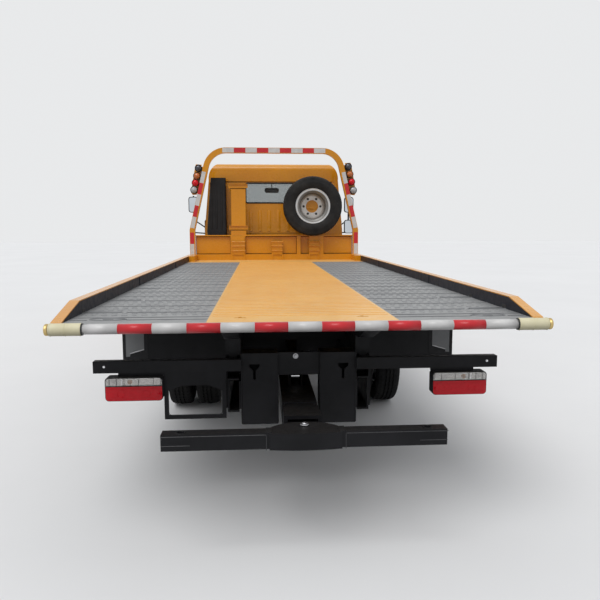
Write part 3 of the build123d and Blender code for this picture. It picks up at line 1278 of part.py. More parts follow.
with BuildPart() as inner_boom:
    half = boom_width / 2 - boom_wall - seat_gap
    low = boom_z - boom_height / 2 + boom_wall + seat_gap
    high = boom_z + boom_height / 2 - boom_wall - seat_gap
    block((-half, half), (collar_y[0], boom_pin_y - 110), (low, high))
    block((-half - 9, half + 9), collar_y, (low - 9, high + 9))
    block((-half + boom_wall, half - boom_wall), (collar_y[0] - 1, boom_pin_y - 109),
          (low + boom_wall, high - boom_wall), mode=Mode.SUBTRACT)
    # Tongue that carries the crossbar's pin
    block((-half + boom_wall - 1, half - boom_wall + 1), (collar_y[0], collar_y[0] + 100), tongue_z)
    block((-tongue_half, tongue_half), (swivel_y, collar_y[0]), tongue_z)
    rod((0, swivel_y, tongue_z[0]), (0, swivel_y, tongue_z[1]), tongue_half)
    rod((0, swivel_y, head_low), (0, swivel_y, crossbar_z[1] + 4), swivel_radius)
finish(inner_boom, "inner_boom")

# Crossbar: a head with a slot for the tongue, and two arms with a hole each for a fork's pin
with BuildPart() as crossbar:
    with BuildSketch(Plane.XY.offset(head_low)) as head:
        with BuildLine():
            ThreePointArc((-head_half_width, crossbar_rear_y + 15), (0, crossbar_rear_y),
                          (head_half_width, crossbar_rear_y + 15))
            Line((head_half_width, crossbar_rear_y + 15), (head_half_width, arm_y[1]))
            ThreePointArc((head_half_width, arm_y[1]), (110, swivel_y + 22), (0, swivel_y + 45))
            ThreePointArc((0, swivel_y + 45), (-110, swivel_y + 22), (-head_half_width, arm_y[1]))
            Line((-head_half_width, arm_y[1]), (-head_half_width, crossbar_rear_y + 15))
        make_face()
    extrude(head.sketch, amount=crossbar_z[1] - head_low)
    for side in sides:
        block((side * (head_half_width - 1), side * crossbar_half), arm_y, crossbar_z)
        fork_y = (arm_y[0] + arm_y[1]) / 2
        rod((side * fork_pin_x, fork_y, crossbar_z[0] - 1), (side * fork_pin_x, fork_y, crossbar_z[1] + 1),
            fork_pin_radius, mode=Mode.SUBTRACT)
    block((-140, 140), (swivel_y - tongue_half - 5, swivel_y + 100), (tongue_z[0] - 3, tongue_z[1] + 3),
          mode=Mode.SUBTRACT)
    rod((0, swivel_y, head_low - 1), (0, swivel_y, crossbar_z[1] + 1), swivel_radius + fit_gap,
        mode=Mode.SUBTRACT)
finish(crossbar, "crossbar")

run = (boom_cyl_eye[0] - boom_cyl_pin[0], boom_cyl_eye[1] - boom_cyl_pin[1])
boom_cyl_length = math.hypot(*run)
boom_cyl_dir = (run[0] / boom_cyl_length, run[1] / boom_cyl_length)
with BuildPart() as boom_barrel:
    rod((0, *along(boom_cyl_pin, boom_cyl_dir, 45)),
        (0, *along(boom_cyl_pin, boom_cyl_dir, boom_cyl_length - 130)), 34)
    rod((0, *along(boom_cyl_pin, boom_cyl_dir, 15)), (0, *along(boom_cyl_pin, boom_cyl_dir, 50)), 20)
    rod((-25, *boom_cyl_pin), (25, *boom_cyl_pin), 24)
    rod((-26, *boom_cyl_pin), (26, *boom_cyl_pin), 14 + fit_gap, mode=Mode.SUBTRACT)
    rod((0, *along(boom_cyl_pin, boom_cyl_dir, 90)),
        (0, *along(boom_cyl_pin, boom_cyl_dir, boom_cyl_length - 129)),
        18 + fit_gap, mode=Mode.SUBTRACT)
finish(boom_barrel, "boom_barrel")
with BuildPart() as boom_rod:
    rod((0, *along(boom_cyl_pin, boom_cyl_dir, 150)),
        (0, *along(boom_cyl_pin, boom_cyl_dir, boom_cyl_length - 12)), 18)
    rod((-24, *boom_cyl_eye), (24, *boom_cyl_eye), 24)
finish(boom_rod, "boom_rod")
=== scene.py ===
import math

import bmesh
import bpy
from mathutils import Matrix, Vector


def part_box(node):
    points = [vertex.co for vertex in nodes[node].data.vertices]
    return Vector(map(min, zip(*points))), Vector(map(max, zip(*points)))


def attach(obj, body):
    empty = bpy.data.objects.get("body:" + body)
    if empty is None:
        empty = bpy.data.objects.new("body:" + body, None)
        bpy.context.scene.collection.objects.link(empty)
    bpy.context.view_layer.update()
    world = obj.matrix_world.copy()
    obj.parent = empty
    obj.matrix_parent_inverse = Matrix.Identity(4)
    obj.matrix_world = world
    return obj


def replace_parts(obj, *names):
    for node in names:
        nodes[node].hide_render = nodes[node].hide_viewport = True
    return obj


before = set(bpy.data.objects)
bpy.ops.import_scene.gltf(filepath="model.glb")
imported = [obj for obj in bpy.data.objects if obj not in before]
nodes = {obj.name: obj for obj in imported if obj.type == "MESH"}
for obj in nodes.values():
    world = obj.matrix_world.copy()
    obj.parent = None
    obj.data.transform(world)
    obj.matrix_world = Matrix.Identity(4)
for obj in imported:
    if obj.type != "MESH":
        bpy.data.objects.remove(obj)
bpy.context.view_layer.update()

# Flatbed tow truck, metres. +X is the truck's right side, +Y is forward, +Z is up.
scene = bpy.context.scene
sides = (-1, 1)
side_names = {-1: "left", 1: "right"}

# Camera: the photograph's place and angles, in radians
photo_width = 600
focal_pixels = 606.9
sensor = 36.0
camera_place = Vector((-0.1985, -6.399, 1.5305))
camera_turn = 0.0657
camera_dip = 0.1192
camera_roll = -0.0019

level_right = Vector((math.cos(camera_turn), -math.sin(camera_turn), 0))
level_forward = Vector((math.sin(camera_turn), math.cos(camera_turn), 0))
forward = level_forward * math.cos(camera_dip) - Vector((0, 0, math.sin(camera_dip)))
level_up = level_right.cross(forward)
right = level_right * math.cos(camera_roll) + level_up * math.sin(camera_roll)
up = level_up * math.cos(camera_roll) - level_right * math.sin(camera_roll)
camera_data = bpy.data.cameras.new("camera")
camera_data.sensor_width = sensor
camera_data.lens = focal_pixels / photo_width * sensor
camera = bpy.data.objects.new("camera", camera_data)
turn = Matrix((right, up, -forward)).transposed().to_4x4()
camera.matrix_world = Matrix.Translation(camera_place) @ turn
scene.collection.objects.link(camera)
scene.camera = camera


# Places read from the frame
def low(node):
    return Vector(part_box(node)[0])


def high(node):
    return Vector(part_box(node)[1])


def middle(node):
    return (low(node) + high(node)) / 2


deck_z = high("deck_centre").z
deck_tail_y = low("deck_centre").y
band_y = high("deck_sides").y
tail_y = low("tail_tube").y
rail_x = high("deck_sides").x
centre_half = min(abs(v.co.x) for v in nodes["deck_sides"].data.vertices)
front_axle_y, wheel_z = middle("tyre_front_left").yz
rear_axle_y = middle("tyres_rear_left").y
cab_rear_y = low("cab_shell").y
cab_front_y = high("cab_shell").y
head_y = low("guard_arch").y
head_top = high("headboard").z
roller_y, roller_z = middle("roller_left").yz


# Materials
def fill(tree, node, inputs):
    """Set a node's inputs: each is a value, or the output that feeds it."""
    for key, value in inputs.items():
        if isinstance(value, bpy.types.NodeSocket):
            tree.links.new(value, node.inputs[key])
        else:
            node.inputs[key].default_value = value


def add_node(tree, kind, inputs=(), **settings):
    node = tree.nodes.new(kind)
    for key, value in settings.items():
        setattr(node, key, value)
    fill(tree, node, dict(inputs))
    return node


def noise(tree, place, scale, detail, roughness=0.5):
    inputs = {"Vector": place, "Scale": scale, "Detail": detail, "Roughness": roughness}
    return add_node(tree, "ShaderNodeTexNoise", inputs).outputs["Fac"]


def remap(tree, value, from_min, from_max, to_min=0.0, to_max=1.0):
    inputs = {"Value": value, "From Min": from_min, "From Max": from_max, "To Min": to_min, "To Max": to_max}
    return add_node(tree, "ShaderNodeMapRange", inputs).outputs["Result"]


def mix(tree, factor, one, two, **settings):
    """A colour between two, each a tuple or an output."""
    one, two = ((*c, 1.0) if isinstance(c, tuple) else c for c in (one, two))
    node = add_node(tree, "ShaderNodeMix", data_type="RGBA", **settings)
    fill(tree, node, {0: factor, 6: one, 7: two})
    return node.outputs[2]


def maths(tree, operation, one, two, **settings):
    return add_node(tree, "ShaderNodeMath", {0: one, 1: two}, operation=operation, **settings).outputs[0]


def relief(tree, height, strength, distance):
    inputs = {"Height": height, "Strength": strength, "Distance": distance}
    return add_node(tree, "ShaderNodeBump", inputs).outputs["Normal"]


def new_material(name):
    """A new material, with its tree, its shader and the place on the object."""
    material = bpy.data.materials.new(name)
    material.use_nodes = True
    add_node(material.node_tree, "ShaderNodeTexCoord")
    return (material, *opened(material))


def opened(material):
    tree = material.node_tree
    place = next(n for n in tree.nodes if n.type == "TEX_COORD").outputs["Object"]
    return tree, tree.nodes["Principled BSDF"], place


def surface(name, dark, light, patch, rough, grain, bump, depth=0.0004, metallic=0.0, coat=0.0, dust=None,
        dust_amount=0.3, streak=1.0, shine=0.5):
    """Paint, plastic or metal: clouded colour, uneven gloss, a fine grain and dust that settles on top."""
    material, tree, shader, place = new_material(name)
    stretch = add_node(tree, "ShaderNodeMapping", {"Vector": place, "Scale": (1.0, 1.0, streak)}).outputs[0]
    colour = mix(tree, remap(tree, noise(tree, stretch, patch, 6.0, 0.6), 0.32, 0.68), dark, light)
    if dust:
        normal = add_node(tree, "ShaderNodeNewGeometry").outputs["Normal"]
        upward = add_node(tree, "ShaderNodeSeparateXYZ", {"Vector": normal}).outputs["Z"]
        settle = remap(tree, upward, 0.2, 1.0, 0.0, dust_amount)
        colour = mix(tree, maths(tree, "MULTIPLY", settle, noise(tree, place, 9.0, 8.0, 0.7)), colour, dust)
    fill(tree, shader, {"Base Color": colour, "Roughness": remap(tree,
        noise(tree, place, patch * 7, 5.0, 0.65), 0.3, 0.7, *rough),
        "Normal": relief(tree, noise(tree, place, grain, 3.0), bump, depth), "Metallic": metallic,
        "Specular IOR Level": shine, "Coat Weight": coat, "Coat Roughness": 0.12})
    return material


def tape(name, dark, light):
    """Reflective sheeting: a honeycomb of small cells under a clear film."""
    material = surface(name, dark, light, 14.0, (0.3, 0.45), 500.0, 0.05, coat=0.2, shine=0.35)
    tree, shader, place = opened(material)
    cells = add_node(tree, "ShaderNodeTexVoronoi", {"Vector": place, "Scale": 260.0},
        feature="DISTANCE_TO_EDGE")
    fill(tree, shader, {"Normal": relief(tree, cells.outputs["Distance"], 0.35, 0.0004)})
    return material


def lens(name, colour, through=0.35, coat=0.5, shine=0.5):
    """A moulded lamp lens: clear coloured plastic with fine optic ribs."""
    material, tree, shader, place = new_material(name)
    ribs = add_node(tree, "ShaderNodeTexWave", {"Vector": place, "Scale": 40.0, "Distortion": 0.0},
        bands_direction="X").outputs["Fac"]
    fill(tree, shader, {"Base Color": mix(tree, noise(tree, place, 30.0, 3.0),
        tuple(c * 0.75 for c in colour), colour), "Normal": relief(tree, ribs, 0.3, 0.001), "Roughness": 0.12,
        "Transmission Weight": through, "Specular IOR Level": shine, "Coat Weight": coat})
    return material


def glass(name, tint):
    """Vehicle glass: thin, faintly tinted, with a little dust."""
    material, tree, shader, place = new_material(name)
    fill(tree, shader, {"Base Color": (*tint, 1.0), "Transmission Weight": 0.96, "IOR": 1.12,
        "Specular IOR Level": 0.9, "Roughness": remap(tree, noise(tree, place, 3.0, 8.0, 0.75), 0.35, 0.75,
        0.0, 0.12)})
    return material


def weave(name, dark, light):
    """Woven seat cloth: two crossed threads, a soft sheen and a little wear."""
    material = surface(name, dark, light, 6.0, (0.75, 0.95), 900.0, 0.2)
    tree, shader, place = opened(material)
    wave = {"Vector": place, "Scale": 150.0, "Distortion": 0.6, "Detail": 1.0}
    threads = [add_node(tree, "ShaderNodeTexWave", wave, bands_direction=way).outputs["Fac"]
        for way in ("DIAGONAL", "Z")]
    fill(tree, shader, {"Normal": relief(tree, maths(tree, "MULTIPLY", *threads), 0.5, 0.0008),
        "Sheen Weight": 0.35})
    return material


def spare_shaded_finish():
    """Silver paint, bright on the lip, with painted shade darkening the well of the rim."""
    material = silver.copy()
    material.name = "spare_silver_shaded"
    tree, shader, place = opened(material)
    ramp_reach = 0.25
    # columns: radius in metres, tone; the darkening in the well is painted shade
    well_shade_tones = ((0.0, (1.0, 0.94, 0.87)), (0.125, (1.0, 0.94, 0.88)), (0.152, (0.78, 0.73, 0.67)),
        (0.165, (0.3, 0.28, 0.255)), (0.2, (0.36, 0.345, 0.325)), (0.209, (1.0, 1.0, 1.0)))
    offset = add_node(tree, "ShaderNodeVectorMath", {0: place, 1: tuple(middle("spare_tyre"))},
        operation="SUBTRACT").outputs[0]
    flat = add_node(tree, "ShaderNodeVectorMath", {0: offset, 1: (1.0, 0.0, 1.0)},
        operation="MULTIPLY").outputs[0]
    reach = add_node(tree, "ShaderNodeVectorMath", {0: flat}, operation="LENGTH").outputs["Value"]
    ramp = add_node(tree, "ShaderNodeValToRGB", {"Fac": maths(tree, "MULTIPLY", reach, 1 / ramp_reach)})
    steps = ramp.color_ramp.elements
    while len(steps) < len(well_shade_tones):
        steps.new(0.5)
    for step, (radius, tone) in zip(steps, well_shade_tones):
        step.position = radius / ramp_reach
    for step, (radius, tone) in zip(steps, well_shade_tones):
        step.color = (*tone, 1.0)
    # the silver multiplied by the ramp: painted shade in the well of the rim
    unshaded = shader.inputs["Base Color"].links[0].from_socket
    fill(tree, shader, {"Base Color": mix(tree, 1.0, unshaded, ramp.outputs["Color"], blend_type="MULTIPLY")})
    return material


# Finishes, as the arguments of surface: name, dark, light, patch, rough, grain, bump
tan = (0.42, 0.38, 0.32)
yellow = surface("yellow_paint", (0.57, 0.218, 0.004), (0.66, 0.27, 0.006), 1.6, (0.22, 0.36), 320.0, 0.08,
    coat=0.25, dust=(0.78, 0.5, 0.2), dust_amount=0.5, shine=0.3)
deck_yellow = surface("deck_yellow", (0.74, 0.33, 0.03), (0.84, 0.42, 0.06), 2.2, (0.32, 0.55), 260.0, 0.12,
    coat=0.1, dust=(0.8, 0.58, 0.26), dust_amount=0.75)
# Darkened yellow for lines painted as shade in corners and under ledges of the headboard and the cab
shade_line_paint = surface("painted_shade_line", (0.15, 0.055, 0.004), (0.24, 0.095, 0.008), 9.0, (0.6, 0.8), 300.0, 0.2,
    shine=0.1)
deck_grey = surface("deck_grey", (0.112, 0.117, 0.127), (0.176, 0.181, 0.191), 3.0, (0.35, 0.6), 220.0, 0.2,
    dust=(0.36, 0.36, 0.35), dust_amount=0.9)
box_grey = surface("box_grey", (0.15, 0.155, 0.16), (0.21, 0.215, 0.22), 3.0, (0.4, 0.6), 200.0, 0.2,
    dust=tan)
frame_black = surface("frame_black", (0.007, 0.007, 0.008), (0.014, 0.014, 0.016), 4.0, (0.32, 0.55), 260.0,
    0.15, dust=tan, dust_amount=0.05, shine=0.16)
rail_black = surface("rail_black", (0.01, 0.012, 0.018), (0.022, 0.024, 0.032), 3.0, (0.4, 0.6), 240.0, 0.15,
    dust=tan, dust_amount=0.1, shine=0.2)
# a paler, glossier dark grey for lines along edges
pale_edge_line = surface("pale_edge_line", (0.022, 0.022, 0.024), (0.055, 0.055, 0.058), 14.0, (0.3, 0.5), 300.0, 0.1,
    shine=0.4)
plastic = surface("black_plastic", (0.014, 0.014, 0.015), (0.024, 0.024, 0.026), 6.0, (0.5, 0.7), 900.0, 0.35,
    depth=0.0003, dust=tan, dust_amount=0.1, shine=0.2)
trim_plastic = surface("cab_trim", (0.1, 0.1, 0.105), (0.14, 0.14, 0.145), 5.0, (0.55, 0.75), 1100.0, 0.4,
    depth=0.0003)
rubber = surface("tyre_rubber", (0.012, 0.012, 0.013), (0.03, 0.029, 0.028), 7.0, (0.65, 0.9), 600.0, 0.3,
    dust=(0.16, 0.14, 0.12), shine=0.15)
seal_rubber = surface("seal_rubber", (0.01, 0.01, 0.011), (0.02, 0.02, 0.021), 9.0, (0.55, 0.75), 700.0, 0.2)
silver = surface("wheel_silver", (0.5, 0.51, 0.52), (0.64, 0.65, 0.66), 6.0, (0.3, 0.45), 400.0, 0.12,
    metallic=0.35, dust=tan, dust_amount=0.25)
cream = surface("roller_cream", (0.6, 0.55, 0.36), (0.7, 0.65, 0.45), 12.0, (0.45, 0.65), 350.0, 0.15)
brass = surface("brass", (0.5, 0.36, 0.14), (0.66, 0.5, 0.22), 20.0, (0.3, 0.5), 400.0, 0.1, metallic=0.9)
steel = surface("bare_steel", (0.34, 0.34, 0.35), (0.5, 0.5, 0.52), 12.0, (0.25, 0.45), 350.0, 0.12,
    metallic=0.9)
chrome = surface("chrome", (0.7, 0.7, 0.72), (0.82, 0.82, 0.84), 9.0, (0.06, 0.15), 300.0, 0.03, metallic=1.0)
mirror_glass = surface("mirror_glass", (0.58, 0.62, 0.66), (0.66, 0.7, 0.74), 2.0, (0.03, 0.08), 60.0, 0.01,
    metallic=1.0)
iron = surface("cast_iron", (0.03, 0.029, 0.028), (0.06, 0.056, 0.052), 9.0, (0.6, 0.85), 260.0, 0.5,
    depth=0.001, dust=tan)
tank_metal = surface("tank_metal", (0.45, 0.46, 0.47), (0.58, 0.59, 0.6), 4.0, (0.28, 0.45), 260.0, 0.1,
    metallic=0.8, streak=0.2)
spare_silver_shaded = spare_shaded_finish()
cloth = weave("seat_cloth", (0.03, 0.033, 0.04), (0.055, 0.06, 0.07))
tape_red = tape("tape_red", (0.5, 0.012, 0.02), (0.6, 0.02, 0.028))
tape_white = tape("tape_white", (0.53, 0.52, 0.51), (0.63, 0.62, 0.61))
red_lens = lens("lens_red", (0.78, 0.006, 0.018), through=0.05, coat=0.1, shine=0.2)
amber_lens = lens("lens_amber", (0.85, 0.2, 0.01))
pale_amber = lens("lens_pale_amber", (0.88, 0.42, 0.12), through=0.3)
clear_lens = lens("lens_clear", (0.86, 0.87, 0.88), through=0.5)
dark_lens = lens("lens_dark", (0.03, 0.03, 0.045), through=0.1)
clear_cover = lens("cover_clear", (0.9, 0.88, 0.85), through=0.85, coat=0.1, shine=0.3)
window = glass("window_glass", (0.58, 0.6, 0.6))

node_materials = {
    yellow: ("cab_shell", "door_left", "door_right", "guard_arch", "headboard", "lamp_brackets", "side_rails",
             "spare_racks", "front_bumper"),
    deck_yellow: ("deck_centre",),
    deck_grey: ("deck_sides",),
    frame_black: ("bed_frame", "frame_rails", "subframe", "tilt_frame", "lamp_bar", "lift_boom", "inner_boom",
                  "crossbar", "boom_barrel", "lift_barrels", "winch", "side_guards"),
    box_grey: ("service_boxes",),
    plastic: ("air_intake", "grille", "mirrors", "mudguards"),
    trim_plastic: ("dashboard", "seat_bases"),
    rubber: ("tyre_front_left", "tyre_front_right", "tyres_rear_left", "tyres_rear_right", "spare_tyre"),
    silver: ("rim_front_left", "rim_front_right", "rims_rear_left", "rims_rear_right"),
    spare_silver_shaded: ("spare_rim",),
    cream: ("roller_left", "roller_right"),
    chrome: ("boom_rod", "lift_rods"),
    iron: ("driveline", "front_axle", "rear_axle", "knuckle_left", "knuckle_right", "track_rod",
           "leaf_springs"),
    tank_metal: ("fuel_tank",),
    tape_white: ("tail_tube",),
    plastic.copy(): ("arch_lamps", "tail_lamps"),
    clear_lens: ("headlamps",),
    window: ("cab_glass", "door_glass_left", "door_glass_right"),
}
for material, names in node_materials.items():
    for name in names:
        for place in nodes[name].material_slots:
            place.link = "OBJECT"
            place.material = material


# Building pieces
def about(place, half):
    """A pair of places at the same distance on each side of one."""
    return place - half, place + half


def ring(count, across, up=None, start=0.0):
    """Points (u, v) round a circle or an ellipse, from start degrees on."""
    angles = (math.radians(start + 360 * i / count) for i in range(count))
    return [(across * math.cos(a), (up or across) * math.sin(a)) for a in angles]


def plate(u, v, radii, steps=5):
    """Outline between pairs of u and v, a radius for each corner from the upper right round to the left."""
    points = []
    corners = ((u[1], v[1], 0, -1, -1), (u[0], v[1], 90, 1, -1), (u[0], v[0], 180, 1, 1),
        (u[1], v[0], 270, -1, 1))
    for (x, y, start, dx, dy), radius in zip(corners, radii):
        if not radius:
            points.append((x, y))
            continue
        for i in range(steps + 1):
            angle = math.radians(start + 90 * i / steps)
            points.append((x + dx * radius + radius * math.cos(angle),
                y + dy * radius + radius * math.sin(angle)))
    return points


def rounded(width, height, radius, steps=5, centre=(0, 0)):
    """Outline points of a rounded rectangle."""
    return plate(about(centre[0], width / 2), about(centre[1], height / 2), (radius,) * 4, steps)


# Ways that an outline of (u, v) and a depth lie in the truck's frame
def facing_back(u, v, depth):
    return u, depth, v


def facing_up(u, v, depth):
    return u, v, depth


def facing_side(u, v, depth):
    return depth, u, v


class Form:
    """Gathers the faces of one piece. All places are in the truck's frame."""

    def __init__(self):
        self.mesh = bmesh.new()

    def faces(self, points, faces):
        made = [self.mesh.verts.new(p) for p in points]
        for face in faces:
            self.mesh.faces.new([made[i] for i in face])
        return made

    def bevel(self, verts, width, steps=2):
        edges = {e for v in verts for e in v.link_edges}
        bmesh.ops.bevel(self.mesh, geom=list(edges), offset=width, segments=steps, affect="EDGES",
            profile=0.5)

    def block(self, x, y, z, soften=0.0, steps=2):
        """A block between pairs of x, y and z, with softened edges."""
        x, y, z = sorted(x), sorted(y), sorted(z)
        points = [(a, b, c) for a in x for b in y for c in z]
        made = self.faces(points, ((0, 1, 3, 2), (4, 6, 7, 5), (0, 4, 5, 1), (2, 3, 7, 6), (0, 2, 6, 4),
            (1, 5, 7, 3)))
        if soften:
            self.bevel(made, soften, steps)

    def loft(self, rings, closed=True, caps=True):
        """Faces between rings of points, each ring with the same count."""
        rows = [[self.mesh.verts.new(p) for p in points] for points in rings]
        count = len(rows[0])
        last = count if closed else count - 1
        for one, two in zip(rows, rows[1:]):
            for i in range(last):
                j = (i + 1) % count
                self.mesh.faces.new((one[i], one[j], two[j], two[i]))
        if caps and closed:
            self.mesh.faces.new(list(reversed(rows[0])))
            self.mesh.faces.new(rows[-1])

    def prism(self, outline, start, end, to3d=facing_back, soften=0.0):
        """An outline pulled from start to end; to3d turns (u, v, depth) into a place."""
        first = len(self.mesh.verts)
        self.loft([[to3d(u, v, start) for u, v in outline], [to3d(u, v, end) for u, v in outline]])
        if soften:
            self.mesh.verts.ensure_lookup_table()
            self.bevel(self.mesh.verts[first:], soften)

    def turned(self, profile, origin, axis, steps=48, closed=False):
        """A profile of (along, radius) points turned about an axis through origin."""
        along = Vector(axis).normalized()
        side = along.orthogonal().normalized()
        other = along.cross(side)
        rows = []
        for c, s in ring(steps, 1.0):
            out = side * c + other * s
            rows.append([self.mesh.verts.new(Vector(origin) + along * a + out * r) for a, r in profile])
        for one, two in zip(rows, rows[1:] + rows[:1]):
            for i in range(len(profile) if closed else len(profile) - 1):
                j = (i + 1) % len(profile)
                self.mesh.faces.new((one[i], two[i], two[j], one[j]))

    def tube(self, path, radius, facets=10, closed=False):
        """A round bar along a path of places."""
        points = [Vector(p) for p in path]
        count = len(points)
        rings = []
        reference = None
        for i, point in enumerate(points):
            if closed:
                heading = points[(i + 1) % count] - points[i - 1]
            else:
                heading = points[min(i + 1, count - 1)] - points[max(i - 1, 0)]
            heading.normalize()
            if reference is None:
                reference = heading.orthogonal().normalized()
            reference = (reference - heading * reference.dot(heading)).normalized()
            other = heading.cross(reference)
            rings.append([point + (reference * c + other * s) * radius for c, s in ring(facets, 1.0)])
        if closed:
            rings.append(rings[0])
        self.loft(rings, caps=not closed)

    def hexagon(self, centre, axis, across, height):
        """A nut: a six-sided block with chamfered corners on its outer face."""
        radius = across / math.sqrt(3)
        self.turned(((0, 0.0001), (0, radius), (height * 0.8, radius), (height, radius * 0.86),
            (height, 0.0001)), centre, axis, steps=6)

    def done(self, name, material, body, slot=None, smooth=35):
        """Make the object, give it its finish and let it ride on a body."""
        bmesh.ops.remove_doubles(self.mesh, verts=self.mesh.verts, dist=1e-6)
        bmesh.ops.recalc_face_normals(self.mesh, faces=self.mesh.faces)
        data = bpy.data.meshes.new(name)
        self.mesh.to_mesh(data)
        self.mesh.free()
        data.materials.append(material)
        data.shade_smooth()
        data.set_sharp_from_angle(angle=math.radians(smooth))
        piece = bpy.data.objects.new(name, data)
        scene.collection.objects.link(piece)
        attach(piece, body)
        return piece


def forms(count):
    return [Form() for _ in range(count)]


def loose_parts(data):
    """An editable copy of a mesh, and each of its loose parts as a middle and a list of vertices."""
    work = bmesh.new()
    work.from_mesh(data)
    bmesh.ops.remove_doubles(work, verts=work.verts, dist=1e-5)
    seen = set()
    parts = []
    for vert in work.verts:
        if vert in seen:
            continue
        group, stack = [], [vert]
        seen.add(vert)
        while stack:
            here = stack.pop()
            group.append(here)
            for edge in here.link_edges:
                there = edge.other_vert(here)
                if there not in seen:
                    seen.add(there)
                    stack.append(there)
        lowest, highest = (Vector([pick(v.co[k] for v in group) for k in range(3)]) for pick in (min, max))
        parts.append(((lowest + highest) / 2, group))
    return work, parts


def loose_centres(node):
    """The middle of each loose part of a node."""
    work, parts = loose_parts(nodes[node].data)
    work.free()
    return [centre for centre, group in parts]


# Deck: pressed marks and cross ribs on the grey sides, cross beads on the yellow middle
mark_pitch = (0.049, 0.0625)
mark_length, mark_width, mark_height = 0.034, 0.011, 0.0028
mark_turns = (0.0, 0.6, 0.0, -0.6)
rib_pitch = 0.25
first_rib_y = deck_tail_y + 0.36
tie_down_length = 0.19
tie_downs = [tail_y + 0.001 + y for y in (0.47, 0.985, 1.705, 2.209, 2.705, 3.205, 3.705, 4.205, 4.705)]


def at_tie_down(y, half):
    return any(abs(y - t) < half for t in tie_downs)


def pressed_mark(form, x, y, angle):
    """A low lozenge standing on the deck."""
    ux, uy = math.cos(angle), math.sin(angle)
    points = []
    for z, shrink in ((deck_z, 1.0), (deck_z + mark_height, 0.55)):
        for a, b in ((-1, 0), (-0.6, 1), (0.6, 1), (1, 0), (0.6, -1), (-0.6, -1)):
            u, v = a * mark_length / 2 * (shrink + 1) / 2, b * mark_width / 2 * shrink
            points.append((x + u * ux - v * uy, y + u * uy + v * ux, z))
    form.faces(points, [(6, 7, 8, 9, 10, 11)] + [(i, (i + 1) % 6, 6 + (i + 1) % 6, 6 + i) for i in range(6)])


def deck_marks():
    columns = int((rail_x - centre_half - 0.05) / mark_pitch[0])
    rows = int((band_y - deck_tail_y - 0.3) / mark_pitch[1])
    inner = rail_x - tie_down_length
    for side in sides:
        form = Form()
        for j in range(rows):
            y = deck_tail_y + 0.225 + (j + 0.5) * mark_pitch[1]
            for i in range(columns + 1):
                x = centre_half + 0.03 + (i + 0.25 * (j % 2)) * mark_pitch[0]
                if x <= rail_x - 0.03 and not (x > inner - 0.02 and at_tie_down(y, 0.05)):
                    pressed_mark(form, side * x, y, mark_turns[(i + j) % 4])
        for j in range(int((band_y - first_rib_y) / rib_pitch) + 1):
            y = first_rib_y + j * rib_pitch
            outer = inner - 0.03 if at_tie_down(y, 0.03) else rail_x - 0.002
            form.block((side * (centre_half + 0.002), side * outer), about(y, 0.006),
                (deck_z, deck_z + 0.003), 0.0015, 1)
        form.done(f"deck_marks_{side_names[side]}", deck_grey, "bed")
    form = Form()
    for j in range(int((band_y - deck_tail_y - 0.2) / mark_pitch[1])):
        y = deck_tail_y + 0.2 + j * mark_pitch[1]
        form.block(about(0, centre_half - 0.012), about(y, 0.004), (deck_z, deck_z + 0.0018), 0.0009, 1)
    form.done("deck_beads", deck_yellow, "bed")


def tie_down_slot_shades():
    """Wedge-shaped slots that run in from the rail's foot, each with a raised rim. Each slot is a thin dark
    sheet lying on the deck, with a dark block at the rail's foot, painted as the shade in the hole.
    """
    holes, rims = forms(2)
    wide, slim = 0.021, 0.005
    for side in sides:
        outer, inner = side * (rail_x - 0.0015), side * (rail_x - tie_down_length)
        for y in tie_downs:
            outline = ((outer, y - wide), (outer, y + wide), (inner, y + slim), (inner - side * 0.012, y),
                (inner, y - slim))
            # the hole is a thin dark sheet on the deck: painted shade
            holes.prism(outline, deck_z + 0.0004, deck_z + 0.0012, facing_up)
            for edge in sides:
                rims.tube([(outer, y + edge * (wide + 0.004), deck_z + 0.001),
                    (inner, y + edge * (slim + 0.004), deck_z + 0.001)], 0.0035, 6)
            # a dark block at the rail's foot stands for the opening: painted shade
            holes.block((side * rail_x, side * (rail_x - 0.004)), about(y, 0.026),
                (deck_z + 0.001, deck_z + 0.022), 0.001, 1)
    holes.done("tie_down_slot_shades", seal_rubber, "bed", "black_paint")
    rims.done("tie_down_rims", deck_grey, "bed")


def tail_slots():
    """Dished rings round the outer hook slots at the deck's tail, and the steps across it."""
    form = Form()
    slot_x, slot_reach = 0.917, 0.09
    # columns: from x, to x, from y, to y in front of the deck's tail
    steps = ((centre_half + 0.002, slot_x - slot_reach, 0.101, 0.109),
        (slot_x + slot_reach, rail_x - 0.01, 0.101, 0.109),
        (centre_half + 0.002, rail_x - 0.005, 0.18, 0.188))
    for side in sides:
        form.tube([(side * slot_x + u, deck_tail_y + 0.128 + v, deck_z + 0.001)
            for u, v in ring(28, 0.085, 0.034)], 0.0035, 6, closed=True)
        for x0, x1, y0, y1 in steps:
            form.block((side * x0, side * x1), (deck_tail_y + y0, deck_tail_y + y1), (deck_z, deck_z + 0.003),
                0.0012, 1)
    form.done("tail_slot_rings", deck_grey, "bed")


def rail_liners():
    """Black inner faces of the side rails above the deck, with their joints."""
    rail_top = high("side_rails").z
    front = head_y - 0.36
    form = Form()
    outline = ((tail_y + 0.15, deck_z + 0.0005), (tail_y + 0.17, deck_z + 0.01),
        (tail_y + 0.424, rail_top - 0.005), (front, rail_top - 0.005), (front, deck_z + 0.0005))
    for side in sides:
        form.prism(outline, side * (rail_x - 0.0002), side * (rail_x - 0.0025), facing_side)
        for y in (tail_y + 1.93, tail_y + 3.9):
            form.block((side * (rail_x - 0.002), side * (rail_x - 0.007)), about(y, 0.009),
                (deck_z + 0.002, rail_top - 0.006), 0.0015, 1)
    form.done("rail_liners", rail_black, "bed")


# Reflective tape, red and white in turn; a hair of paint shows between two units
tape_unit = 0.15
tape_gap = 0.0012
tape_proud = 0.0008
arch_kink_z = deck_z + 0.4
arch_post_x = 1.085
arch_lean = Vector((-0.226, 0.996)).normalized()


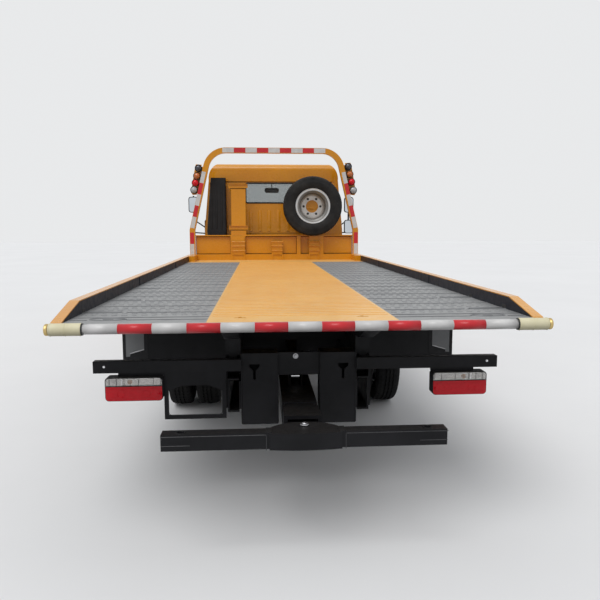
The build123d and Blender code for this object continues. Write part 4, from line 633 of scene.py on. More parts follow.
def tail_tape():
    """Thirteen units round the back of the tail tube, white first and last."""
    radius = roller_z - low("roller_left").z - 0.006 + tape_proud
    units = 13
    arc = [math.radians(-100 + 200 * k / 12) for k in range(13)]
    for name, material, first in (("white", tape_white, 0), ("red", tape_red, 1)):
        form = Form()
        for i in range(first, units, 2):
            x = (i - units / 2) * tape_unit
            form.loft([[(end, roller_y - radius * math.cos(a), roller_z + radius * math.sin(a)) for a in arc]
                for end in (x + tape_gap / 2, x + tape_unit - tape_gap / 2)], closed=False, caps=False)
        data = form.done(f"tail_tape_{name}", material, "bed").data
        work = bmesh.new()
        work.from_mesh(data)
        bmesh.ops.solidify(work, geom=work.faces[:], thickness=0.0006)
        work.to_mesh(data)
        work.free()


def tape_strip(form, start, end, width):
    """A flat strip on the arch's rear face, between two (x, z) places along its middle line."""
    start, end = Vector(start), Vector(end)
    along = (end - start).normalized()
    across = Vector((-along.y, along.x)) * width / 2
    form.prism([tuple(c) for c in (start - across, end - across, end + across, start + across)], head_y,
        head_y - tape_proud)


def arch_tape():
    """Nine units along the top bar, five up each post and two below its kink."""
    bar_z = high("guard_arch").z - 0.035
    red, white = forms(2)
    for i in range(9):
        x = (i - 4.5) * tape_unit
        tape_strip((white, red)[i % 2], (x + tape_gap / 2, bar_z), (x + tape_unit - tape_gap / 2, bar_z),
            0.06)
    foot = Vector((arch_post_x + 0.006, arch_kink_z - 0.01))
    post_x = arch_post_x + 0.004
    for side in sides:
        for i in range(5):
            a, b = (foot + arch_lean * reach for reach in (0.035 + i * tape_unit,
                0.035 + (i + 1) * tape_unit - tape_gap))
            tape_strip((white, red)[i % 2], (side * a.x, a.y), (side * b.x, b.y), 0.052)
        for i in range(2):
            top = arch_kink_z - 0.035 - i * tape_unit
            tape_strip((red, white)[i], (side * post_x, top), (side * post_x, top - tape_unit + tape_gap),
                0.052)
    red.done("arch_tape_red", tape_red, "bed")
    white.done("arch_tape_white", tape_white, "bed")


# Round lamps outside the arch posts
lamp_columns = {side: sorted((c for c in loose_centres("arch_lamps") if c.x * side > 0), key=lambda c: -c.z)
    for side in sides}


def arch_lenses():
    """A domed lens and a bezel on each of the eight lamps."""
    back = low("arch_lamps").y
    radius = 0.042
    dome = [(0.024 * (1 - (r / radius) ** 2), r) for r in (0.0005, 0.012, 0.022, 0.032, 0.038, radius)]
    bezels = Form()
    finishes = (("dark", dark_lens), ("amber", amber_lens), ("red", red_lens), ("clear", clear_lens))
    for side, column in lamp_columns.items():
        for centre, (name, material) in zip(column, finishes):
            origin = (centre.x, back, centre.z)
            form = Form()
            form.turned(dome + [(-0.001, radius)], origin, (0, -1, 0), 36)
            form.done(f"lens_{name}_{side_names[side]}", material, "bed", "lamp_amber")
            bezels.turned(((-0.004, 0.046), (0.003, 0.047), (0.006, 0.0455), (0.005, 0.042), (0.0, 0.0415)),
                origin, (0, -1, 0), 36)
    bezels.done("lamp_bezels", plastic, "bed")


def lamp_plates():
    """Yellow plates behind the round lamps, a little wider than the column of lamps."""
    back = high("arch_lamps").y
    form = Form()
    for side, column in lamp_columns.items():
        top, foot = column[0], column[-1]
        # columns: lamp, outward x, z from it
        corners = ((top, -0.04, 0.05), (top, 0.034, 0.055), (top, 0.046, 0.03), (foot, 0.044, -0.03),
            (foot, 0.02, -0.064), (foot, -0.03, -0.058))
        form.prism([(lamp.x + side * u, lamp.z + v) for lamp, u, v in corners], back - 0.004, back + 0.001,
            soften=0.001)
    form.done("lamp_plates", yellow, "bed")


# Tyres: a ribbed highway tread with zigzag grooves, notched shoulders and ringed walls
tyre_radius = 0.3875
pitches = 56
zigzag = (0.0, 0.0035, 0.0, -0.0035)
groove_depth = 0.01
notch_depth = 0.006
# columns: distance from the middle plane, kind; from the middle of the tread outwards
crown = ((0.0045, "groove"), (0.0057, "edge"), (0.0258, "edge"), (0.027, "groove"), (0.036, "groove"),
    (0.0372, "edge"), (0.06, "plain"), (0.062, "shoulder"), (0.078, "shoulder"), (0.086, "shoulder"))
# columns: distance from the middle plane, radius; from the tread to the bead
wall = ((0.088, 0.3655), (0.0905, 0.356), (0.0935, 0.344), (0.096, 0.33), (0.0965, 0.324), (0.0975, 0.322),
    (0.0995, 0.304), (0.0975, 0.286), (0.0935, 0.266), (0.086, 0.246), (0.076, 0.232), (0.069, 0.226),
    (0.067, 0.204))


def tread_fall(x):
    """How far the tread lies under its middle line."""
    return 0.0045 * (x / 0.066) ** 2 if x <= 0.066 else 0.0045 + 0.014 * ((x - 0.066) / 0.02) ** 1.6


def tyre(form, centre, outward):
    """One tyre about an axle along outward, a unit vector."""
    along = Vector(outward)
    side = along.orthogonal().normalized()
    other = along.cross(side)
    half = [(x, tyre_radius - tread_fall(x), kind) for x, kind in crown] + [(x, r, "plain") for x, r in wall]
    section = [(-x, r, kind) for x, r, kind in reversed(half)] + half
    rows = []
    for i, (c, s) in enumerate(ring(pitches * len(zigzag), 1.0)):
        phase = i % len(zigzag)
        out = side * c + other * s
        row = []
        for x, r, kind in section:
            if kind in ("groove", "edge"):
                x += zigzag[phase]
            if kind == "groove":
                r -= groove_depth
            if kind == "shoulder" and phase == 0:
                r -= notch_depth
            row.append(form.mesh.verts.new(Vector(centre) + along * x + out * r))
        rows.append(row)
    for one, two in zip(rows, rows[1:] + rows[:1]):
        for k in range(len(section) - 1):
            form.mesh.faces.new((one[k], two[k], two[k + 1], one[k + 1]))
        form.mesh.faces.new((one[-1], two[-1], two[0], one[0]))


def tyres():
    for node, body in (("tyre_front_left", "front_wheel_left"), ("tyre_front_right", "front_wheel_right"),
            ("tyres_rear_left", "rear_wheels_left"), ("tyres_rear_right", "rear_wheels_right"),
            ("spare_tyre", "bed")):
        form = Form()
        for centre in loose_centres(node):
            tyre(form, centre, (0, -1, 0) if node == "spare_tyre" else (1, 0, 0))
        piece = form.done(f"tread_{node}", rubber, body, smooth=28)
        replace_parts(piece, node)


# Tail
def tail_lamp_faces():
    """Red below, a clear strip with an amber end above, each a moulded cover on a dark base."""
    face = low("tail_lamps").y
    half_high = high("tail_lamps").z - middle("tail_lamps").z - 0.003
    half_wide, corner = 0.142, 0.016
    split = half_high - 0.043
    red_v, clear_v = (split - half_high) / 2, (split + half_high) / 2
    red, clear, amber, bright, edge, dark = forms(6)
    square = (0,) * 4
    # columns: form, u, v, corners, from depth, to depth, softened
    plates = ((red, (-half_wide, half_wide), (-half_high, split), (0, 0, corner, corner), -0.001, 0.006,
        0.0016), (red, (-0.128, 0.128), (0.011 - half_high, split - 0.011), (0.012,) * 4, 0.0055, 0.0085,
        0.0012), (bright, (-half_wide, half_wide), (split + 0.002, half_high), (corner, corner, 0, 0), -0.001,
        0.0012, 0), (clear, (-half_wide, 0.058), (split + 0.0015, half_high), (0, corner, 0, 0), 0.0036,
        0.0062, 0.0011), (clear, (0.061, half_wide - 0.001), (split + 0.0015, half_high), (corner, 0, 0, 0),
        0.0036, 0.0062, 0.0011), (dark, about(0, half_wide - 0.004), (split - 0.0008, split + 0.003), square,
        0.001, 0.0066, 0))
    for side in sides:
        def on_face(u, v, depth):
            return side * (high("tail_lamps").x - 0.145) + side * u, face - depth, middle("tail_lamps").z + v

        edge.tube([on_face(u, v, 0.0005) for u, v in rounded(2 * half_wide, 2 * half_high, corner)], 0.0032,
            6, closed=True)
        for form, u, v, corners, start, end, soften in plates:
            form.prism(plate(u, v, corners), start, end, on_face, soften)
        for middle_u in (-0.064, 0.064):
            red.tube([on_face(middle_u + u, red_v + v, 0.0086) for u, v in ring(28, 0.019)], 0.0016, 6,
                closed=True)
        red.turned(((0.006, 0.021), (0.0092, 0.02), (0.0112, 0.013), (0.0118, 0.0001)),
            on_face(-0.112, red_v, 0.0), (0, -1, 0), 24)
        for k in range(22):
            u = -0.134 + 0.0122 * k
            if abs(u - 0.02) >= 0.016 and abs(u + 0.062) >= 0.012:
                bar = plate(about(u, 0.002), (split + 0.006, half_high - 0.004), square)
                (bright if k % 3 else dark).prism(bar, 0.001, 0.0034, on_face)
        for u, form in ((-0.062, bright), (0.02, amber), (0.1, bright)):
            form.turned(((0.0006, 0.013), (0.003, 0.012), (0.0034, 0.007), (0.0034, 0.0001)),
                on_face(u, clear_v, 0.0), (0, -1, 0), 20)
    red.done("tail_lens_red", red_lens, "chassis")
    clear.done("tail_lens_clear", clear_cover, "chassis")
    amber.done("tail_bulbs_amber", pale_amber, "chassis")
    dark.done("tail_lamp_bars", plastic, "chassis")
    edge.done("tail_lamp_edges", plastic, "chassis")
    bright.done("tail_reflectors", chrome, "chassis")


def tail_fittings():
    """Collars and caps on the tail tube, the bolt between the legs and the crossbar's pin and eyes."""
    collars, caps, bolts, pin, eyes = forms(5)
    roller_radius = high("roller_left").z - roller_z
    ridge = ((-0.002, roller_radius - 0.001), (-0.001, roller_radius + 0.0012),
        (0.001, roller_radius + 0.0012), (0.002, roller_radius - 0.001))
    for side in sides:
        collars.turned(((0.0, 0.0235), (0.0, 0.0265), (0.005, 0.0272), (0.005, 0.0235)),
            (side * 0.9755, roller_y, roller_z), (side, 0, 0), 40, closed=True)
        caps.turned(((0.0, 0.0238), (0.0035, 0.0262), (0.012, 0.0262), (0.015, 0.024), (0.016, 0.012),
            (0.013, 0.01), (0.013, 0.0001)), (side * 1.1225, roller_y, roller_z), (side, 0, 0), 40)
    collars.done("tail_collars", seal_rubber, "bed", "black_paint")
    caps.done("roller_caps", brass, "bed")
    for side in sides:
        ribs = Form()
        for x in (0.986, 1.05, 1.114):
            ribs.turned(ridge, (side * x, roller_y, roller_z), (side, 0, 0), 48)
        ribs.done(f"roller_{side_names[side]}_ribs", cream, f"{side_names[side]}_roller")
    bolt_x, bolt_y, bolt_z = -0.0167, tail_y + 0.465, 0.8596
    bolts.turned(((0, 0.0001), (0, 0.014), (0.002, 0.014), (0.0025, 0.009)), (bolt_x, bolt_y, bolt_z),
        (0, -1, 0), 28)
    bolts.hexagon((bolt_x, bolt_y - 0.002, bolt_z), (0, -1, 0), 0.017, 0.01)
    bolts.done("leg_bolt", steel, "chassis")
    bar_y, bar_top = low("crossbar").y, high("crossbar").z
    pin.turned(((0, 0.0001), (0, 0.021), (0.0035, 0.02), (0.004, 0.0001)),
        (0, bar_y + 0.118, bar_top + 0.004), (0, 0, 1), 36)
    pin.hexagon((0, bar_y + 0.118, bar_top + 0.0042), (0, 0, 1), 0.022, 0.009)
    pin.done("swivel_cap", steel, "sliding_boom")
    for side in sides:
        for z, way in ((bar_top, 1), (bar_top - 0.0745, -1)):
            eyes.turned(((-0.0005, 0.0162), (0.002, 0.0172), (0.003, 0.02), (0.003, 0.0225),
                (-0.0005, 0.024)), (side * 0.56, bar_y + 0.054, z), (0, 0, way), 36)
        eyes.block((side * 0.15, side * 0.18), (bar_y + 0.02, bar_y + 0.088),
            (bar_top - 0.002, bar_top + 0.004), 0.002)
    eyes.done("crossbar_eyes", frame_black, "tow_bar")


def pale_edge_lines():
    """Paler, glossier lines along the edges of the crossbar and the plate frame, and the bolts at the lamp
    bar's ends.
    """
    form = Form()
    bar_y, bar_top = low("crossbar").y, high("crossbar").z
    # columns: from x, to x, out of the face, from and to under the top, radius
    edges = ((0.18, 0.643, 0.0004, 0.0018, 0.0018, 0.0016), (0.515, 0.641, 0.0002, 0.043, 0.043, 0.0013),
        (0.178, 0.178, 0.0004, 0.004, 0.072, 0.0014))
    for side in sides:
        for x0, x1, out, under0, under1, radius in edges:
            form.tube([(side * x0, bar_y + out, bar_top - under0),
                (side * x1, bar_y + out, bar_top - under1)], radius, 6)
    form.done("crossbar_edges", pale_edge_line, "tow_bar")
    form = Form()
    left, right, foot = -0.6772, -0.4025, 0.5625
    path = ((left, 0.69), (left, foot + 0.012), (left + 0.004, foot + 0.004), (left + 0.012, foot),
        (right - 0.012, foot), (right - 0.004, foot + 0.004), (right, foot + 0.012), (right, 0.69))
    form.tube([(x, tail_y + 0.44, z) for x, z in path], 0.0018, 6)
    form.done("frame_edges", pale_edge_line, "chassis")
    bolts = Form()
    for side in sides:
        bolts.turned(((0, 0.0001), (0, 0.006), (0.002, 0.006), (0.0022, 0.0042), (0.005, 0.0036),
            (0.0056, 0.0001)), (side * 0.996, low("lamp_bar").y, 0.827), (0, -1, 0), 20)
    bolts.done("lamp_bar_bolts", chrome, "chassis")


def weld_beads():
    """Weld beads where the plates of the tail meet, and edge rounds on the legs."""
    form = Form()
    leg_y, bar_y = tail_y + 0.4495, tail_y + 0.4255
    for side in sides:
        for x in (0.111, 0.3):
            form.tube([(side * x, leg_y, 0.505), (side * x, leg_y, 0.875)], 0.0035, 6)
        form.tube([(side * 0.302, bar_y, 0.853), (side * 1.05, bar_y, 0.853)], 0.003, 6)
    form.done("weld_beads", frame_black, "chassis")


# Headboard
def head_shade_lines():
    """Dark lines of painted shade where the headboard's plates, ribs and rack bars meet: along the sill,
    under the flange, beside the uprights and under and beside the rack bars.
    """
    form = Form()
    plate_y = head_y + 0.0503
    on_plate, on_bar = (plate_y - 0.0016, plate_y), (plate_y + 0.0045, plate_y + 0.0062)
    foot_z, under_z = deck_z + 0.075, head_top - 0.014
    # columns: from x, to x, between the uprights
    for x0, x1 in ((-1.044, -0.587), (-0.388, 0.295), (0.347, 0.585), (0.655, 1.044)):
        # painted shade along the sill's top, under the flange and beside each upright
        form.block((x0, x1), on_plate, (foot_z + 0.001, foot_z + 0.0125))
        form.block((x0, x1), on_plate, (under_z - 0.0125, under_z - 0.001))
        for x in (x0, x1 - 0.006):
            form.block((x, x + 0.006), on_plate, (foot_z + 0.0125, under_z - 0.0125))
    # painted shade under each rack's cross bars and down its column's edges
    for x in (-0.478, 0.498):
        for z in (deck_z + 0.948, deck_z + 0.402):
            form.block(about(x, 0.099), on_bar, (z - 0.0125, z - 0.0005))
        for edge in sides:
            form.block(about(x + edge * 0.098, 0.002), on_bar, (deck_z + 0.455, deck_z + 0.947))
    form.done("head_shade_lines", shade_line_paint, "bed")


def head_steps():
    """Plates, feet and rungs of the three small steps, and rails from two of them over the sill."""
    form = Form()
    # columns: from x, to x, has a rail
    for x0, x1, rail in ((-0.56, -0.4, True), (-0.035, 0.1, False), (0.46, 0.59, True)):
        form.block((x0, x1), about(head_y - 0.0225, 0.001), (deck_z + 0.071, deck_z + 0.249))
        if rail:
            form.block((x0, x1 - 0.006), about(head_y - 0.013, 0.001), (deck_z + 0.247, head_top - 0.0135))
        for x in (x0, x1):
            form.block(about(x, 0.006), (head_y - 0.045, head_y - 0.0385), (deck_z + 0.002, deck_z + 0.073),
                0.0015, 1)
        for z in (0.125, 0.185, 0.24):
            form.tube([(x, head_y - 0.0385, deck_z + z) for x in (x0 - 0.01, x1 + 0.01)], 0.0055, 8)
    form.done("head_steps", yellow, "bed")


# Cab
def cab_side_x(z):
    """The cab's side at a height above the belt line."""
    return 0.948 - max(0.0, z - 1.5) * (0.063 / 0.67)


def screen_y(z):
    """The windscreen's slope in side view."""
    return cab_front_y - 0.022 - (z - 1.48) * (0.263 / 0.83)


def soft_corners(points, radius, steps=4):
    """A closed path of places with its corners rounded."""
    out = []
    for i, point in enumerate(points):
        here = Vector(point)
        before = (Vector(points[i - 1]) - here).normalized() * radius
        after = (Vector(points[(i + 1) % len(points)]) - here).normalized() * radius
        for k in range(steps + 1):
            t = k / steps
            out.append(here + before * (1 - t) ** 2 + after * t ** 2)
    return out


def window_seals():
    """Rubber seals round the windscreen, the rear window and the door windows."""
    shell = Form()
    screen = [(x, screen_y(z), z) for x, z in ((-0.8, 1.52), (0.8, 1.52), (0.71, 2.25), (-0.71, 2.25))]
    rear = [(x, cab_rear_y, z) for x, z in ((-0.384, 1.866), (0.384, 1.866), (0.384, 2.13), (-0.384, 2.13))]
    shell.tube(soft_corners(screen, 0.05), 0.011, 8, closed=True)
    shell.tube(soft_corners(rear, 0.03), 0.0105, 8, closed=True)
    shell.done("cab_seals", seal_rubber, "cab")
    sill_x = cab_side_x(1.512)
    for side in sides:
        form = Form()
        path = [(side * cab_side_x(z), y, z) for y, z in ((3.4, 1.52), (3.25, 2.13), (2.695, 2.13),
            (2.695, 1.52))]
        form.tube(soft_corners(path, 0.04), 0.009, 8, closed=True)
        form.block((side * (sill_x - 0.004), side * (sill_x + 0.007)), (2.7, 3.395), (1.5, 1.516), 0.003)
        form.done(f"door_seal_{side_names[side]}", seal_rubber, f"{side_names[side]}_door")


def rib(form, x, y, section, stations):
    """A pressed rib: section has shares of half width and height, stations are (z, half width, height)."""
    form.loft([[(x + half * u, y - proud * v if v else y + 0.001, z) for u, v in section]
        for z, half, proud in stations])


def cab_rear_pressings():
    """Upright ribs under the rear window, the roof panel's overhang, dark lines of painted shade under the
    overhang and at the wall's foot, and the roof gutters.
    """
    form, line, drip = forms(3)
    for k in (-5, -3, -1, 1, 3, 5):
        rib(form, 0.0645 * k, cab_rear_y, ((-1, 0), (-0.72, 0.7), (-0.4, 1), (0.4, 1), (0.72, 0.7), (1, 0)),
            ((1.48, 0.02, 0.0), (1.484, 0.026, 0.0095), (1.504, 0.026, 0.003), (1.52, 0.026, 0.006),
            (1.745, 0.026, 0.006), (1.77, 0.012, 0.0)))
    # columns: how far out, z; the roof panel stands over the rear wall, with a sharp lower edge
    panel = ((0.0095, 2.154), (0.01, 2.172), (0.0065, 2.24))
    form.loft([[(x, cab_rear_y + 0.001, 2.152)] + [(x, cab_rear_y - out * share, z) for out, z in panel]
        + [(x, cab_rear_y + 0.001, 2.3)] for x, share in ((-0.835, 0.05), (-0.82, 0.7), (-0.795, 1.0),
        (0.795, 1.0), (0.82, 0.7), (0.835, 0.05))])
    form.done("cab_rear_ribs", yellow, "cab")
    # dark lines painted as shade under the roof panel's overhang and in the gap over the headboard's flange
    for half, z in ((0.8, (2.143, 2.1525)), (0.56, (1.447, 1.456))):
        line.block((-half, half), (cab_rear_y - 0.0012, cab_rear_y + 0.001), z)
    line.done("cab_rear_shade_lines", shade_line_paint, "cab")
    gutter_x = cab_side_x(2.17)
    for side in sides:
        drip.tube([(side * (gutter_x + out), y, z) for out, y, z in ((0.004, 3.33, 2.15),
            (0.004, 3.18, 2.212), (0.002, 2.6, 2.222), (0.002, 2.18, 2.205))], 0.007, 8)
    drip.done("roof_gutters", yellow, "cab")


def intake_ribs():
    """Upright ribs moulded down the rear face of the air intake."""
    form = Form()
    face_y = 1.895
    for x in (-0.842, -0.775, -0.708):
        rib(form, x, face_y, ((-1, 0), (-0.6, 1), (0.6, 1), (1, 0)),
            ((1.5, 0.004, 0.0), (1.52, 0.013, 0.005), (2.12, 0.013, 0.005), (2.14, 0.004, 0.0)))
    form.done("intake_ribs", plastic, "chassis")


def door_fittings():
    """Handle in its recess, lock, pressed lines and the lower trim on each door."""
    # columns: from and to out of the door's face, y, z, softened
    parts = ((-0.004, 0.003, (2.655, 2.835), (1.335, 1.425), 0.003),
        (0.0, 0.018, (2.667, 2.685), (1.368, 1.4), 0.004), (0.0, 0.018, (2.797, 2.815), (1.368, 1.4), 0.004),
        (-0.006, 0.004, (2.64, 2.9), (0.985, 1.008), 0.003))
    for side in sides:
        name = side_names[side]
        dark, paint, bright = forms(3)

        def out(amount):
            return side * (0.948 + amount)

        for start, end, y, z, soften in parts:
            dark.block((out(start), out(end)), y, z, soften)
        dark.block((out(0.004), out(0.02)), (2.67, 2.815), (1.372, 1.396), 0.006, 3)
        bright.turned(((0, 0.0001), (0, 0.012), (0.003, 0.012), (0.004, 0.01), (0.0025, 0.003),
            (0.0025, 0.0001)), (out(0.003), 2.7, 1.352), (side, 0, 0), 24)
        for z, depth in ((1.23, 0.005), (1.045, 0.004)):
            paint.loft([[(out(-0.001), y, z - half), (out(proud), y, z - half * 0.5),
                (out(proud), y, z + half * 0.5), (out(-0.001), y, z + half)]
                for y, half, proud in ((2.62, 0.004, 0.0), (2.65, 0.012, depth), (3.4, 0.012, depth),
                (3.44, 0.004, 0.0))])
        dark.done(f"door_handle_{name}", plastic, f"{name}_door")
        paint.done(f"door_lines_{name}", yellow, f"{name}_door")
        bright.done(f"door_lock_{name}", chrome, f"{name}_door")


def cab_front_fittings():
    """Wipers, pressed lines, grille bars, turn lamps and the mirror inside the screen."""
    wipers, lines, mesh, turn, inside = forms(5)
    for x0, x1 in ((-0.62, -0.08), (0.04, 0.58)):
        foot, tip, start, end = (Vector((x, screen_y(z) + out, z))
            for x, z, out in ((x0 + 0.02, 1.5, 0.012), (x1, 1.585, 0.016), (x0 + 0.1, 1.56, 0.008),
            (x1 + 0.06, 1.61, 0.008)))
        wipers.turned(((0, 0.0001), (0, 0.016), (0.012, 0.014), (0.018, 0.008), (0.018, 0.0001)),
            foot - Vector((0, 0.01, 0.004)), (0, 0.95, 0.3), 24)
        wipers.tube([foot, foot.lerp(tip, 0.5) + Vector((0, 0.008, 0.018)), tip], 0.006, 8)
        wipers.tube([start, start.lerp(end, 0.5) + Vector((0, 0.003, 0.003)), end], 0.0055, 6)
    wipers.done("wipers", plastic, "cab")
    for z, half in ((1.395, 0.72), (1.222, 0.7), (0.845, 0.7)):
        lines.block((-half, half), (cab_front_y - 0.003, cab_front_y + 0.004), about(z, 0.006), 0.003)
    lines.done("front_lines", yellow, "cab")
    for i in range(-23, 24):
        mesh.block(about(i * 0.0245, 0.0014), (cab_front_y - 0.0035, cab_front_y + 0.001), (0.912, 1.148))
    mesh.done("grille_bars", plastic, "cab")
    for side in sides:
        turn.block((side * 0.946, side * 0.957), (3.5, 3.56), (1.2, 1.232), 0.004)
    turn.done("turn_lamps", amber_lens, "cab")
    inside.prism(rounded(0.228, 0.078, 0.03, centre=(0, 2.114)), 3.395, 3.415, soften=0.004)
    inside.tube([(0, 3.41, 2.14), (0, 3.43, 2.19), (0, screen_y(2.215) - 0.022, 2.215)], 0.007, 8)
    inside.done("inside_mirror", plastic, "cab")


def cab_steps():
    """Treads behind the front wheels and the grab handles above them."""
    form = Form()
    grab_x = cab_side_x(1.7)
    for side in sides:
        form.block((side * 0.88, side * 0.94), (2.15, 2.42), (0.7, 0.712), 0.003)
        for k in range(9):
            form.block((side * 0.884, side * 0.936), about(2.17 + 0.029 * k, 0.003), (0.711, 0.716), 0.001, 1)
        form.tube([(side * (grab_x + out), 2.3, z) for out, z in ((0.014, 1.3), (0.034, 1.33), (0.034, 1.62),
            (0.01, 1.65))], 0.009, 8)
    form.done("cab_steps", plastic, "cab")


def mirror_faces():
    """Silvered glass and a rim on the rear face of each mirror head."""
    panes, rims = forms(2)
    face = cab_front_y - 0.209
    # columns: side, middle z, height
    for side, z, height in ((-1, 1.895, 0.25), (1, 1.895, 0.25), (1, 1.54, 0.22)):
        centre = (side * 1.259, z)
        panes.prism(rounded(0.132, height - 0.02, 0.032, 6, centre), face - 0.0012, face + 0.0005)
        rims.tube([(u, face - 0.001, v) for u, v in rounded(0.136, height - 0.014, 0.034, 6, centre)], 0.0045,
            8, closed=True)
    panes.done("mirror_glass", mirror_glass, "cab")
    rims.done("mirror_rims", plastic, "cab")


def headlamp_bowls():
    """Reflector bowls, bulbs and an amber end behind a clear cover in each headlamp pocket."""
    lamp_low, lamp_high = low("headlamps"), high("headlamps")
    back, z = lamp_low.y, (lamp_low.z, lamp_high.z)
    housing, bowls, amber, bulbs, covers = forms(5)
    for side in sides:
        pocket = (side * 0.5005, side * 0.7995)
        housing.block(pocket, (back, back + 0.0015), z)
        for x in (0.562, 0.652):
            origin = (side * x, back, middle("headlamps").z)
            bowls.turned(((0.0015, 0.0001), (0.0018, 0.012), (0.0035, 0.026), (0.007, 0.038), (0.0092, 0.042),
                (0.0092, 0.0435), (0.0016, 0.0435)), origin, (0, 1, 0), 40)
            bulbs.turned(((0.002, 0.009), (0.006, 0.009), (0.0085, 0.006), (0.009, 0.0001)), origin,
                (0, 1, 0), 20)
        amber.block((side * 0.712, side * 0.792), (back + 0.002, back + 0.009), (z[0] + 0.01, z[1] - 0.01),
            0.003)
        covers.block(pocket, (lamp_high.y - 0.0015, lamp_high.y + 0.0003), z)
    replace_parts(housing.done("headlamp_housing", plastic, "chassis"), "headlamps")
    bowls.done("headlamp_bowls", chrome, "chassis")
    bulbs.done("headlamp_bulbs", clear_cover, "chassis")
    amber.done("headlamp_turn", amber_lens, "chassis")
    covers.done("headlamp_covers", clear_cover, "chassis")


def cab_lining():
    """Grey trim over the cab's inner faces and the inner face of each door."""
    heart = Vector((0, (cab_rear_y + cab_front_y) / 2, 1.65))

    def in_cab(at, way):
        return (abs(at.x) < 0.915 and cab_rear_y + 0.03 < at.y < cab_front_y - 0.03 and 0.935 < at.z < 2.395
            and (heart - at).normalized().dot(way) > 0.25)

    def in_door(at, way):
        return way.x * at.x < -0.75 * abs(at.x) and abs(at.x) < 0.909 and 0.8 < at.z < 2.2

    for node, body, name, inside in (("cab_shell", "cab", "cab_lining", in_cab),
            ("door_left", "left_door", "door_card_left", in_door),
            ("door_right", "right_door", "door_card_right", in_door)):
        form = Form()
        work = form.mesh
        work.from_mesh(nodes[node].data)
        bmesh.ops.remove_doubles(work, verts=work.verts, dist=1e-5)
        drop = [face for face in work.faces if not inside(face.calc_center_median(), face.normal)]
        bmesh.ops.delete(work, geom=drop, context="FACES")
        for vert in work.verts:
            vert.co += vert.normal * 0.0014
        bmesh.ops.solidify(work, geom=work.faces[:], thickness=0.0008)
        form.done(name, trim_plastic, body)


# Wheels
stud_circle = 0.22225 / 2


def wheel_fittings():
    """Nuts on the studs, and the hub caps with their bolts."""
    front_cap = ((0.0, 0.052), (0.004, 0.06), (0.014, 0.06), (0.018, 0.056), (0.022, 0.03), (0.022, 0.0001))
    rear_cap = ((0.0, 0.04), (0.0, 0.074), (0.006, 0.074), (0.008, 0.07), (0.009, 0.03), (0.016, 0.026),
        (0.017, 0.0001))
    # columns: rim, wheel, axle y, nuts' x, cap's x and profile, and of the cap's bolts: x, count,
    # radius of their circle, start in degrees, size across, height
    axles = (("rim_front", "front_wheel", front_axle_y, 0.915, 0.953, front_cap, 0.9695, 6, 0.044, 30, 0.01,
        0.005), ("rims_rear", "rear_wheels", rear_axle_y, 0.772, 0.829, rear_cap, 0.837, 8, 0.055, 20, 0.014,
        0.008))
    for side in sides:
        name, way = side_names[side], (side, 0, 0)
        for rim, wheel, y, nut_x, cap_x, profile, bolt_x, count, circle, start, across, height in axles:
            nuts, cap = forms(2)
            for u, v in ring(6, stud_circle):
                nuts.turned(((0, 0.0115), (0, 0.019), (0.003, 0.0185), (0.004, 0.0115)),
                    (side * nut_x, y + u, wheel_z + v), way, 24)
                nuts.hexagon((side * (nut_x + 0.003), y + u, wheel_z + v), way, 0.03, 0.018)
            cap.turned(profile, (side * cap_x, y, wheel_z), way, 40)
            for u, v in ring(count, circle, start=start):
                cap.hexagon((side * bolt_x, y + u, wheel_z + v), way, across, height)
            nuts.done(f"nuts_{rim}_{name}", steel, f"{wheel}_{name}")
            cap.done(f"cap_{rim}_{name}", iron, f"{wheel}_{name}")


def spare_fittings():
    """Dark discs of painted shade in the stud holes, the clamp and the bright edge of the spare wheel's rim.
    """
    dark, clamp, edge = forms(3)
    x, z = middle("spare_tyre").xz
    disc_y = high("spare_rim").y - 0.012
    # a dark disc and a short tube in each stud hole: painted shade
    for u, v in ring(6, stud_circle):
        dark.turned(((0, 0.0001), (0, 0.0152), (0.004, 0.0152)), (x + u, disc_y + 0.004, z + v), (0, 1, 0),
            24)
    clamp.block(about(x, 0.074), (disc_y + 0.002, disc_y + 0.0115), (z - 0.034, z - 0.012), 0.003)
    clamp.turned(((0, 0.0001), (0, 0.013), (0.008, 0.013), (0.01, 0.008), (0.01, 0.0001)),
        (x, disc_y + 0.003, z - 0.023), (0, -1, 0), 24)
    edge.turned(((-0.001, 0.218), (-0.0045, 0.222), (-0.0045, 0.2255), (-0.001, 0.2275), (0.004, 0.2275)),
        (x, low("spare_rim").y, z), (0, 1, 0), 72)
    dark.done("spare_hole_shades", seal_rubber, "bed")
    clamp.done("spare_clamp", yellow, "bed")
    edge.done("spare_rim_edge", silver, "bed")


# Chassis fittings
def band(form, outline, y, half, thickness):
    """A strap round an outline of (x, z), about y."""
    count = len(outline)
    centre = Vector((sum(u for u, v in outline) / count, sum(v for u, v in outline) / count))
    outer = [tuple(Vector(p) + (Vector(p) - centre).normalized() * thickness) for p in outline]
    form.loft([[(u, at, v) for u, v in points] for points, at in ((outline, y - half), (outer, y - half),
        (outer, y + half), (outline, y + half))], caps=False)


